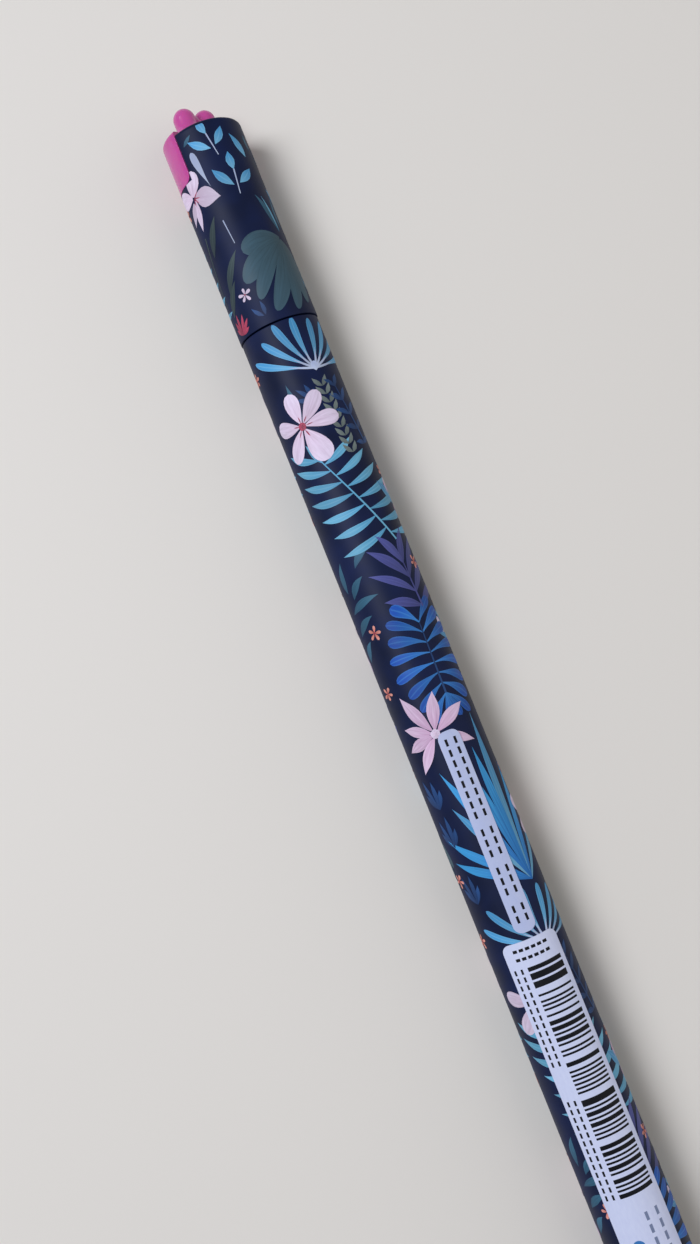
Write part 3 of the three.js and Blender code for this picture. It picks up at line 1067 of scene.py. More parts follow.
    def tiny_flower(self, centre: Place, reach: float = 0.9, ink: PrintInk = PrintInk.CORAL) -> None:
        """Prints a small five-petal flower with a crimson middle."""
        self.flower(centre, self.rng.uniform(0, 72), 5, reach, reach * 0.42, ink, PrintInk.CRIMSON, 3)

    def tuft(
        self, foot: Place, aim: float, count: int, opening: float, reach: float, width: float,
        ink: PrintInk, layer: int = 1, shortest: float = 0.6,
    ) -> None:
        """Prints pointed blades from one foot, longest in the middle.

        Args:
            foot: Where the blades meet.
            aim: Heading of the middle blade in degrees.
            count: Number of blades.
            opening: Angle between the outer blades in degrees.
            reach: Length of the longest blade.
            width: Width of a blade.
            ink: Its ink.
            layer: How many inks lie below it.
            shortest: Share of the reach that the outer blades have.
        """
        for i in range(count):
            share = i / (count - 1) - 0.5
            length = reach * (1 - (1 - shortest) * abs(2 * share) ** 1.3) * self.vary(0.07)
            self.leaf(
                Vector(foot), aim - opening * share, length, width * self.vary(0.12), ink, layer + i % 3,
                bend=length * 0.03 * math.copysign(1, -share), widest=0.55, neck=0.08,
            )

    def frond(
        self, foot: Place, tip: Place, pairs: int, reach: float, width: float, ink: PrintInk,
        layer: int = 1, opens: Place = (140.0, 35.0), form: Blade = Blade.PADDLE,
        stem: PrintInk | None = None,
    ) -> None:
        """Prints a frond whose lobes turn from backwards at its foot to forwards at its tip.

        Args:
            foot: Where its rachis starts.
            tip: Where its rachis ends.
            pairs: Lobes on each side.
            reach: Length of the longest lobe.
            width: Width of a lobe.
            ink: Its ink.
            layer: How many inks lie below it.
            opens: Angles between lobes and rachis at the foot and at the tip, in degrees.
            form: How the lobes widen.
            stem: Ink of the rachis, if it isn't the lobes' ink.
        """
        start, run = Vector(foot), Vector(tip) - Vector(foot)
        aim = math.degrees(math.atan2(run.y, run.x))
        widest = 0.78 if form is Blade.PADDLE else 0.5
        self.stem(tip, foot, 0.26, stem or ink, layer + 3)
        for i in range(pairs):
            share = i / (pairs - 1)
            off = opens[0] + (opens[1] - opens[0]) * share
            length = reach * (0.78 + 0.22 * math.sin(share * math.pi)) * self.vary(0.05)
            for side in (1, -1):
                self.leaf(
                    start + run * share, aim + side * off, length, width * self.vary(0.15), ink,
                    layer + i % 3, form=form, widest=widest, neck=0.12, bend=-side * length * 0.05,
                )

    def split_leaf(self, root: Place, aim: float, size: float, ink: PrintInk, layer: int = 1) -> None:
        """Prints a broad leaf whose rim is split into fingers.

        Args:
            root: Where its stalk joins.
            aim: Heading of its longest finger in degrees.
            size: Length of its longest finger.
            ink: Its ink.
            layer: How many inks lie below it.
        """
        fingers = (
            (-56, 0.57, 0.29), (-29, 0.8, 0.27), (-11, 0.9, 0.2), (3, 1.0, 0.22), (20, 0.96, 0.18),
            (34, 0.87, 0.17), (50, 0.72, 0.18),
        )
        for i, (turn, length, width) in enumerate(fingers):
            self.leaf(
                Vector(root), aim + turn, size * length, size * width, ink, layer + i % 3, form=Blade.PETAL,
                widest=0.62, neck=0.35, bend=0.05 * size * math.copysign(1, turn), tone=0.2,
            )

    def cut(self, plane_at: Vector, towards: Vector, clear: bool = True) -> None:
        """Cuts the print along a plane.

        Args:
            plane_at: A point of the plane in metres.
            towards: The plane's normal.
            clear: Whether what lies on the normal's side is taken away.
        """
        bmesh.ops.bisect_plane(
            self.bm, geom=self.bm.verts[:] + self.bm.edges[:] + self.bm.faces[:], dist=0.0001 * MM,
            plane_co=plane_at, plane_no=towards, clear_outer=clear,
        )

    def keep_between(self, low: float, high: float) -> None:
        """Takes away what lies beyond two places along the pen."""
        self.cut(Vector((high * MM, 0, 0)), Vector((1, 0, 0)))
        self.cut(Vector((low * MM, 0, 0)), Vector((-1, 0, 0)))

    def finish(self, name: str, body: str) -> bpy.types.Object:
        """Gives the inks their thickness and makes the piece.

        Args:
            name: Name of the piece.
            body: Body that it moves with.

        Returns:
            The print as an object.
        """
        thicken(self.bm, self.ink_depth)
        used = sorted({face.material_index for face in self.bm.faces})
        order = {old: new for new, old in enumerate(used)}
        for face in self.bm.faces:
            face.material_index = order[face.material_index]
        inks = [INK_MATERIALS[list(PrintInk)[index]] for index in used]
        return piece(self.bm, name, body, inks)


INK_MATERIALS: dict[PrintInk, bpy.types.Material] = {}


# ---------- Sub-assemblies ----------
@dataclass
class Cap:
    """The cap: printed tube, moulded blossom topper, bead, liner and nib seal."""

    wall: float = 1.0
    rim_round: float = 0.45
    edge_round: float = 0.06
    notch_depth: float = 5.7
    notch_half_angle: float = 97.0
    front_angle: float = 135.0
    notch_gap: float = 0.06
    notch_round: float = 1.1
    notch_columns: int = 84
    back_columns: int = 76
    rows: int = 10
    lobe_radius: float = 1.34
    lobe_offset: float = 1.6
    plug_depth: float = 3.0
    web_below: float = 0.75
    flare: float = 0.93
    flare_rise: float = 1.6
    shell_proud: float = 0.5
    shell_round: float = 0.42
    shell_edge_round: float = 0.22
    seat: float = 0.1
    petal_count: int = 5
    petal_length: float = 2.1
    petal_width: float = 1.62
    petal_orbit: float = 1.3
    petal_relief: float = 0.24
    blossom_below_rim: float = 2.9
    bead_radius: float = 0.55
    bead_rise: float = 0.44

    @property
    def front_arc(self) -> float:
        """Arc from the top of the cap to the middle of the blossom."""
        return math.radians(self.front_angle) * LINES.cap

    @property
    def notch_half_arc(self) -> float:
        """Arc from the blossom's middle to the notch's side."""
        return math.radians(self.notch_half_angle) * LINES.cap + self.notch_gap

    @property
    def notch_base(self) -> float:
        """Where the notch ends along the pen."""
        return LINES.rim - self.notch_depth - self.notch_gap

    def build(self) -> None:
        """Builds and dresses the whole cap."""
        skin = SKIN.material()
        piece(self.tube(), "cap_skin", "cap", [skin], ("cap_tube",))
        pink = ORCHID.material()
        piece(self.topper(), "blossom_moulding", "cap", [pink], ("blossom_topper",))
        piece(self.bead(), "blossom_bead", "cap", [YELLOW.material()], ("blossom_centre",))
        piece(self.liner(), "cap_liner", "cap", [NATURAL.material()], ("inner_cap",))
        dress("nib_seal", SEAL.material())
        self.print_skin()

    def tube(self) -> bmesh.types.BMesh:
        """The tube: a sheet with the notch left out, wrapped round, given its wall and softened.

        Returns:
            The tube.
        """
        bm = bmesh.new()
        columns = 2 * self.notch_columns + self.back_columns
        rows = 2 * self.rows
        bmesh.ops.create_grid(bm, x_segments=columns, y_segments=rows, size=1.0)
        cells = [(face, face.calc_center_median()) for face in bm.faces]
        in_notch = [
            face for face, centre in cells
            if (centre.y + 1) / 2 * rows > self.rows
            and abs(centre.x) * columns / 2 > self.back_columns / 2
        ]
        bmesh.ops.delete(bm, geom=in_notch, context="FACES")
        level = self.notch_base + self.notch_round
        whole = WHOLE_TURN * LINES.cap
        back_half = whole / 2 - self.notch_half_arc
        for vert in bm.verts:
            column = vert.co.x * columns / 2
            row = round((vert.co.y + 1) / 2 * rows)
            beyond = abs(column) - self.back_columns / 2
            if beyond <= 0:
                arc = column / (self.back_columns / 2) * back_half
                ledge = level
            else:
                side_arc = beyond / self.notch_columns * self.notch_half_arc
                arc = math.copysign(back_half + side_arc, column)
                ledge = self.notch_base + corner_inset(side_arc, self.notch_round)
            if row <= self.rows:
                along = LINES.mouth + (ledge - LINES.mouth) * row / self.rows
            else:
                along = level + (LINES.rim - level) * (row - self.rows) / self.rows
            around = self.front_arc + whole / 2 - arc
            vert.co = LINES.wrap(along, around, LINES.cap, LINES.cap)
        bmesh.ops.remove_doubles(bm, verts=bm.verts, dist=0.002 * MM)
        thicken(bm, self.wall)
        self.soften(bm, self.rim_round, lambda at: at.x > (LINES.rim - 0.01) * MM)
        self.soften(bm, self.edge_round, lambda at: True)
        return bm

    def soften(self, bm: bmesh.types.BMesh, width: float, chosen: Callable[[Vector], bool]) -> None:
        """Rounds the outer edges of a wrapped wall.

        Args:
            bm: The wall.
            width: Width of the rounding.
            chosen: Tells by an edge's middle whether it is rounded.
        """
        outer = (LINES.cap - 0.02) * MM
        axis = Vector((0, 0, LINES.axis * MM))
        sharp = math.radians(40)
        edges = []
        for edge in bm.edges:
            middle = (edge.verts[0].co + edge.verts[1].co) / 2
            out = min((vert.co - axis).yz.length for vert in edge.verts)
            is_sharp = len(edge.link_faces) == 2 and edge.calc_face_angle(0) > sharp
            if out > outer and is_sharp and chosen(middle):
                edges.append(edge)
        bmesh.ops.bevel(
            bm, geom=edges, offset=width * MM, offset_type="OFFSET", segments=4, profile=0.5,
            affect="EDGES", material=-1, clamp_overlap=True,
        )

    def shell(self) -> bmesh.types.BMesh:
        """The topper's front shell, which fills the notch and stands a little proud of the rim.

        Returns:
            The shell.
        """
        bm = bmesh.new()
        columns, rows = 2 * self.notch_columns, 12
        bmesh.ops.create_grid(bm, x_segments=columns, y_segments=rows, size=1.0)
        half = self.notch_half_arc - 2 * self.notch_gap
        base = LINES.rim - self.notch_depth
        top = LINES.rim + self.shell_proud
        for vert in bm.verts:
            from_side = (1 - abs(vert.co.x)) * half
            low = base + corner_inset(from_side, self.notch_round - self.notch_gap)
            along = low + (top - low) * (vert.co.y + 1) / 2
            around = self.front_arc - vert.co.x * half
            vert.co = LINES.wrap(along, around, LINES.cap, LINES.cap)
        thicken(bm, self.wall)
        self.soften(bm, self.shell_round, lambda at: at.x > (top - 0.01) * MM)
        self.soften(bm, self.shell_edge_round, lambda at: True)
        return bm

    def lobe(self, side: int) -> bmesh.types.BMesh:
        """One rounded lobe on top of the cap, with a flared foot, on an axis of its own.

        Args:
            side: 1 for the upper lobe, -1 for the lower one.

        Returns:
            The lobe.
        """
        foot = LINES.rim - self.plug_depth / 2
        seat = LINES.rim - self.seat
        shoulder = LINES.top - self.lobe_radius
        flare_steps, dome_steps = 10, 14
        flare = [
            (seat + self.flare_rise * rise, self.lobe_radius + self.flare * (1 - rise) ** 1.5)
            for rise in (i / flare_steps for i in range(flare_steps + 1))
        ]
        dome = [
            (shoulder + self.lobe_radius * math.sin(turn), self.lobe_radius * math.cos(turn))
            for turn in (math.pi / 2 * i / dome_steps for i in range(dome_steps))
        ]
        bm = turned([(foot, 0.0), (foot, flare[0][1]), *flare, *dome, (LINES.top, 0.0)], 64)
        across = math.radians(self.front_angle - 90)
        offset = Vector((0, math.sin(across), math.cos(across))) * self.lobe_offset * side
        bmesh.ops.translate(bm, verts=bm.verts, vec=offset * MM)
        return bm

    def web(self) -> bmesh.types.BMesh:
        """The rounded web that joins the two lobes, a little lower than they are.

        Returns:
            The web.
        """
        bm = bmesh.new()
        bmesh.ops.create_uvsphere(bm, u_segments=48, v_segments=32, radius=1.0)
        across = math.radians(self.front_angle - 90)
        web_share = 0.86
        size = Vector((self.lobe_rise - self.web_below, self.lobe_radius * web_share, self.lobe_offset))
        for vert in bm.verts:
            along, aside, between = vert.co.x * size.x, vert.co.y * size.y, vert.co.z * size.z
            right = between * math.sin(across) + aside * math.cos(across)
            up = between * math.cos(across) - aside * math.sin(across)
            vert.co = Vector((LINES.rim + max(along, -self.plug_depth / 2), right, LINES.axis + up)) * MM
        bmesh.ops.recalc_face_normals(bm, faces=bm.faces)
        return bm

    @property
    def lobe_rise(self) -> float:
        """How far the lobes stand out of the rim."""
        return LINES.top - LINES.rim

    def petal(self, index: int) -> bmesh.types.BMesh:
        """One petal of the blossom in relief, domed, with a notch at its outer end.

        Args:
            index: Its number.

        Returns:
            The petal, wrapped on the shell.
        """
        bm = bmesh.new()
        bmesh.ops.create_uvsphere(bm, u_segments=40, v_segments=20, radius=1.0)
        turn = WHOLE_TURN * index / self.petal_count
        centre = LINES.rim - self.blossom_below_rim
        for vert in bm.verts:
            x, y, z = vert.co
            waist = 0.72 + 0.28 * math.sin((x + 1) / 2 * math.pi * 0.85)
            dent = 0.16 * math.exp(-((y / 0.28) ** 2)) * max(0.0, x) ** 3
            crease = 0.16 * math.exp(-((y / 0.16) ** 2)) * (1 - x * x)
            out = self.petal_orbit + (x - dent) * self.petal_length / 2
            aside = y * waist * self.petal_width / 2
            along = centre + out * math.cos(turn) - aside * math.sin(turn)
            around = self.front_arc + out * math.sin(turn) + aside * math.cos(turn)
            lift = LINES.cap + self.petal_relief * (z - crease * max(0.0, z))
            vert.co = LINES.wrap(along, around, lift, LINES.cap)
        bmesh.ops.recalc_face_normals(bm, faces=bm.faces)
        return bm

    def plug(self) -> bmesh.types.BMesh:
        """The topper's round plug, which closes the cap behind its rim.

        Returns:
            The plug.
        """
        bore = LINES.cap - self.wall - 0.02
        base = LINES.rim - self.plug_depth
        top = LINES.rim - self.seat
        outline = [(base, 0.0), (base, bore), (top, bore), (top, 0.0)]
        return turned(rounded(outline, 0.12))

    def topper(self) -> bmesh.types.BMesh:
        """The whole pink moulding.

        Returns:
            The plug, shell, web, lobes and petals in one mesh.
        """
        lobes = [self.lobe(side) for side in (1, -1)]
        petals = [self.petal(i) for i in range(self.petal_count)]
        return joined([self.plug(), self.shell(), self.web(), *lobes, *petals])

    def bead(self) -> bmesh.types.BMesh:
        """The bead in the blossom's middle, with a ring of dimples.

        Returns:
            The bead.
        """
        bm = bmesh.new()
        bmesh.ops.create_uvsphere(bm, u_segments=48, v_segments=24, radius=1.0)
        centre = LINES.rim - self.blossom_below_rim
        dimples, depth, ring_at, ring_width = 7, 0.07, 0.6, 0.16
        for vert in bm.verts:
            x, y, z = vert.co
            ring = math.exp(-((math.hypot(x, y) - ring_at) / ring_width) ** 2)
            dent = depth * ring * max(0.0, math.cos(dimples * math.atan2(y, x)))
            around = self.front_arc + y * self.bead_radius
            lift = LINES.cap + self.bead_rise * z * (1 - dent)
            vert.co = LINES.wrap(centre + x * self.bead_radius, around, lift, LINES.cap)
        bmesh.ops.recalc_face_normals(bm, faces=bm.faces)
        return bm

    def liner(self) -> bmesh.types.BMesh:
        """The inner cap, closed behind the nib seal.

        Returns:
            The liner.
        """
        mouth, top = span("inner_cap")
        outer = half_height("inner_cap")
        bore, floor = outer - 0.65, top - 0.8
        outline = [
            (mouth, bore), (mouth, outer - 0.1), (mouth + 0.2, outer), (top, outer), (top, 0.0),
            (floor, 0.0), (floor, bore),
        ]
        return turned(rounded(outline[:4], 0.08)[:-1] + outline[3:])

    def print_skin(self) -> None:
        """Prints the cap and takes the print away where the notch is."""
        sheet = PrintSheet(LINES.cap, seed=11)
        sheet.sprig((74.3, -0.95), 10, 2.9, PrintInk.SKY)
        sheet.sprig((69.2, -1.65), -7, 3.1, PrintInk.SKY)
        sheet.leaf(Vector((73.6, -4.4)), 22, 3.2, 0.95, PrintInk.SKY, bend=-0.15)
        sheet.leaf(Vector((74.6, -5.8)), 5, 2.0, 0.5, PrintInk.TEAL)
        sheet.leaf(
            Vector((71.0, 1.2)), 10, 4.9, 0.85, PrintInk.LILAC, form=Blade.PADDLE, bend=0.1, widest=0.8
        )
        sheet.leaf(Vector((76.8, 2.6)), -55, 1.6, 0.5, PrintInk.TEAL)
        self.print_lily(sheet)
        sheet.stem((64.0, 1.15), (67.0, 1.45), 0.14, PrintInk.LILAC)
        for foot, tip in (
            ((59.0, 4.4), (63.3, 1.3)), ((63.8, 4.5), (68.0, 2.2)), ((56.5, 5.4), (60.2, 2.9)),
        ):
            sheet.blade(foot, tip, 0.95, PrintInk.OLIVE, bend=0.25)
        sheet.stem((55.5, 6.3), (66.5, 4.8), 0.2, PrintInk.OLIVE, bend=0.3)
        sheet.blade((64.4, -5.0), (68.8, -3.4), 0.85, PrintInk.TEAL, bend=-0.3)
        sheet.blade((64.2, -5.2), (68.6, -4.3), 0.3, PrintInk.FERN, 2, bend=-0.2)
        sheet.blade((64.6, -6.0), (68.6, -6.2), 0.6, PrintInk.TEAL, bend=0.2)
        sheet.split_leaf((63.0, -4.5), 151, 9.1, PrintInk.SLATE)
        sheet.tiny_flower((58.1, 2.35), 0.9, PrintInk.BLUSH)
        sheet.blade((54.9, 0.9), (56.7, 1.0), 0.5, PrintInk.DEEP, bend=-0.1)
        sheet.blade((54.9, 1.1), (56.3, 2.3), 0.5, PrintInk.DEEP, bend=0.1)
        sheet.tuft((54.3, 4.9), -14, 6, 120, 2.6, 0.5, PrintInk.CRIMSON)
        self.print_far_side(sheet)
        sheet.keep_between(LINES.mouth, LINES.rim - self.rim_round)
        side = self.notch_half_arc / LINES.cap
        for sign in (1, -1):
            turn = math.radians(self.front_angle) + sign * side
            across = Vector((0, math.cos(turn), -math.sin(turn)))
            sheet.cut(Vector((0, 0, LINES.axis * MM)), across, clear=False)
        sheet.cut(Vector((self.notch_base * MM, 0, 0)), Vector((1, 0, 0)), clear=False)
        bmesh.ops.delete(sheet.bm, geom=[f for f in sheet.bm.faces if self.over_notch(f)], context="FACES")
        sheet.finish("cap_print", "cap")

    def print_lily(self, sheet: PrintSheet) -> None:
        """Prints the flower beside the notch: one broad petal, two round ones and two slender ones.

        Args:
            sheet: The cap's print.
        """
        petals = (
            ((71.1, 3.7), (69.7, 0.6), 2.35, Blade.POINTED, 0.42),
            ((71.3, 4.0), (74.0, 2.9), 2.0, Blade.PETAL, 0.55),
            ((70.8, 3.9), (67.3, 4.6), 1.0, Blade.POINTED, 0.45),
            ((70.7, 4.3), (68.4, 5.8), 0.9, Blade.POINTED, 0.45),
            ((71.3, 4.2), (72.2, 7.4), 2.1, Blade.PETAL, 0.55),
        )
        for i, (foot, tip, width, form, widest) in enumerate(petals):
            sheet.blade(foot, tip, width, PrintInk.BLUSH, 2 + i % 2, form, widest=widest, neck=0.2)
        for turn in (-150, -110, -60, 170):
            sheet.leaf(Vector((71.1, 3.95)), turn, 0.95, 0.14, PrintInk.CRIMSON, 4)

    def print_far_side(self, sheet: PrintSheet) -> None:
        """Prints the side that faces away from the labels.

        Args:
            sheet: The cap's print.
        """
        sheet.fern((57.0, 9.0), (69.5, 11.0), 7, 4.3, PrintInk.FERN)
        sheet.flower((61.0, 14.6), 10, 6, 3.4, 1.8, PrintInk.BLUSH, PrintInk.CRIMSON)
        sheet.sprig((67.0, 15.5), 8, 3.8, PrintInk.SKY)
        sheet.fan((56.0, -11.5), 4, 7, 130, 6.0, PrintInk.SKY)
        sheet.sprig((66.0, -10.6), 12, 4.2, PrintInk.SKY)
        sheet.frond((69.0, -12.0), (74.0, -10.5), 5, 3.0, 0.9, PrintInk.ROYAL)
        sheet.tuft((72.5, -8.2), 10, 4, 70, 3.6, 0.7, PrintInk.TEAL)
        for centre in ((70.5, 7.2), (64.5, 18.2), (64.0, -13.2), (56.0, 16.8), (74.0, -13.6)):
            sheet.tiny_flower(centre)

    def over_notch(self, face: bmesh.types.BMFace) -> bool:
        """Whether a face of the print lies over the notch.

        Args:
            face: A face of the print.

        Returns:
            True where the skin below it is cut away.
        """
        middle = face.calc_center_median() / MM
        angle = math.degrees(math.atan2(middle.y, middle.z - LINES.axis))
        off = abs((angle - self.front_angle + 180) % 360 - 180)
        half = math.degrees(self.notch_half_arc / LINES.cap)
        return middle.x > self.notch_base and off < half


@dataclass
class Barrel:
    """The barrel: printed tube, and the print that repeats along it."""

    wall: float = 1.1
    edge_round: float = 0.12
    repeat: float = 70.5
    ink_margin: float = 0.12

    def build(self) -> None:
        """Builds the tube and its print."""
        piece(self.tube(), "barrel_skin", "barrel", [SKIN.material()], ("barrel_tube",))
        for number, copies in enumerate((0.0, -self.repeat)):
            sheet = PrintSheet(LINES.barrel, seed=23 + number, shift=copies)
            self.print_label_side(sheet)
            self.print_far_side(sheet)
            sheet.keep_between(LINES.barrel_rear + self.ink_margin, LINES.barrel_front - self.ink_margin)
            sheet.finish(("barrel_print_front", "barrel_print_rear")[number], "barrel")

    def tube(self) -> bmesh.types.BMesh:
        """The round tube with softened ends.

        Returns:
            The tube.
        """
        rear, front = LINES.barrel_rear, LINES.barrel_front
        outer = LINES.barrel
        bore = outer - self.wall
        outline = [(rear, bore), (rear, outer), (front, outer), (front, bore)]
        return turned(rounded(outline, self.edge_round), 160)

    def print_label_side(self, sheet: PrintSheet) -> None:
        """Prints one repeat of the side that the labels are on.

        Args:
            sheet: The print.
        """
        sheet.fan((47.2, -2.2), -5, 8, 140, 7.7, PrintInk.SKY)
        sheet.braid((36.6, -2.7), (46.6, -2.1), 1.05, PrintInk.DUSK)
        sheet.tuft((43.6, -0.6), 40, 5, 110, 2.6, 0.55, PrintInk.DEEP)
        pointed = {"form": Blade.POINTED}
        sheet.frond((37.4, -5.4), (44.6, -3.9), 5, 2.2, 0.62, PrintInk.DEEP, opens=(70.0, 40.0), **pointed)
        petals = (
            (3, 4.1, 1.9), (-43, 4.6, 1.9), (-91, 4.6, 1.9), (-160, 4.9, 2.7), (143, 4.5, 1.9),
            (75, 3.8, 1.9),
        )
        sheet.blossom((41.4, 1.85), petals, PrintInk.BLUSH, PrintInk.CRIMSON)
        sheet.leaf(Vector((42.0, 1.5)), 5, 4.6, 0.8, PrintInk.TEAL, 1)
        sheet.fern((25.5, -3.8), (37.0, 1.4), 7, 6.6, PrintInk.FERN)
        for centre in ((31.0, -6.4), (28.0, -6.9)):
            sheet.leaf(Vector(centre), -20, 2.4, 1.5, PrintInk.ROSE, 2, form=Blade.PETAL)
        for foot, tip in (
            ((24.0, 2.4), (26.4, -0.7)), ((20.7, 4.2), (22.9, 1.9)), ((19.1, 5.4), (20.3, 0.9)),
            ((21.6, 4.9), (25.3, 4.2)), ((16.4, 5.6), (18.3, 2.6)), ((13.2, 5.9), (15.6, 4.3)),
        ):
            sheet.blade(foot, tip, 0.95, PrintInk.TEAL, 0, bend=0.35)
        sheet.frond((17.2, -3.7), (22.6, -3.4), 4, 6.0, 1.1, PrintInk.INDIGO, opens=(64.0, 26.0), **pointed)
        royal = {"opens": (138.0, 48.0), "stem": PrintInk.DEEP}
        sheet.frond((7.0, -2.1), (15.6, -2.3), 8, 5.0, 1.25, PrintInk.ROYAL, **royal)
        paddle = {"form": Blade.PADDLE, "widest": 0.75, "neck": 0.15}
        for turn in (172.0, 196.0):
            sheet.leaf(Vector((7.2, -2.1)), turn, 3.4, 1.1, PrintInk.ROYAL, **paddle)
        star = (
            (26, 5.8, 1.5), (-17, 4.9, 1.5), (-62, 5.0, 1.5), (-118, 4.8, 1.2), (-165, 5.2, 1.3),
            (142, 5.2, 1.3), (107, 4.3, 1.4), (68, 4.0, 1.3),
        )
        sheet.blossom((3.1, 0.85), star, PrintInk.ROSE, PrintInk.BLUSH, form=Blade.POINTED)
        for centre in ((16.3, 3.2), (9.2, 5.0), (22.4, -5.6), (34.0, -6.9), (-14.0, 5.9), (49.0, 6.4)):
            sheet.tiny_flower(centre)
        for centre in ((13.4, -6.3), (12.0, 7.0)):
            sheet.leaf(Vector(centre), 15, 2.2, 1.1, PrintInk.BLUSH, 2, form=Blade.PETAL)
        agave = (
            (-2, 20.2), (3.5, 16.6), (10, 14.6), (21, 16.2), (29, 12.4), (49, 11.2), (62, 9.8), (-12, 14.0),
            (-33, 11.0),
        )
        for i, (aim, length) in enumerate(agave):
            ink = PrintInk.SKY if i % 4 == 0 else PrintInk.AZURE
            sheet.leaf(Vector((-16.4, -3.6)), aim, length, 1.05, ink, 1 + i % 2, widest=0.64, neck=0.08)
        for at in (-1.9, -6.6, -13.5):
            sheet.tuft((at - 3.4, 4.0), 8, 4, 62, 4.0, 0.6, PrintInk.DEEP)

    def print_far_side(self, sheet: PrintSheet) -> None:
        """Prints one repeat of the side that faces away from the labels.

        Args:
            sheet: The print.
        """
        sheet.flower((44.5, 11.5), 8, 6, 4.3, 2.1, PrintInk.BLUSH, PrintInk.CRIMSON)
        sheet.fern((26.0, 13.8), (38.5, 10.0), 7, 5.6, PrintInk.FERN)
        sheet.split_leaf((51.6, -13.4), 158, 8.2, PrintInk.SLATE)
        sheet.frond((33.0, -12.5), (41.0, -11.2), 6, 4.2, 1.1, PrintInk.ROYAL)
        sheet.sprig((28.0, -8.8), 6, 4.6, PrintInk.SKY)
        sheet.sprig((22.4, -12.6), -8, 4.4, PrintInk.SKY)
        sheet.fan((12.0, -11.4), 5, 7, 140, 7.0, PrintInk.SKY)
        sheet.braid((3.0, -11.0), (11.4, -11.4), 0.95, PrintInk.DUSK)
        sheet.flower((16.6, 11.8), 20, 7, 5.0, 1.6, PrintInk.ROSE, PrintInk.BLUSH, form=Blade.POINTED)
        sheet.frond(
            (3.0, 8.8), (9.6, 11.0), 5, 4.4, 1.0, PrintInk.INDIGO, opens=(62.0, 28.0), form=Blade.POINTED
        )
        sheet.tuft((-6.0, 12.5), 0, 7, 86, 9.0, 1.2, PrintInk.SKY)
        sheet.flower((-9.4, -9.6), 0, 6, 4.1, 2.0, PrintInk.BLUSH, PrintInk.CRIMSON)
        sheet.split_leaf((-8.0, 8.6), 160, 7.0, PrintInk.SLATE)
        sheet.tuft((-4.6, -13.0), 6, 5, 90, 5.2, 0.8, PrintInk.TEAL)
        for centre in (
            (49.6, 15.0), (39.4, 14.4), (31.4, 7.9), (22.0, 8.4), (10.4, 14.6), (24.6, -14.8), (17.8, -8.2),
            (-0.6, 8.6), (-3.6, -7.4), (-13.4, 14.2), (30.8, -13.9), (-15.2, -13.0),
        ):
            sheet.tiny_flower(centre)


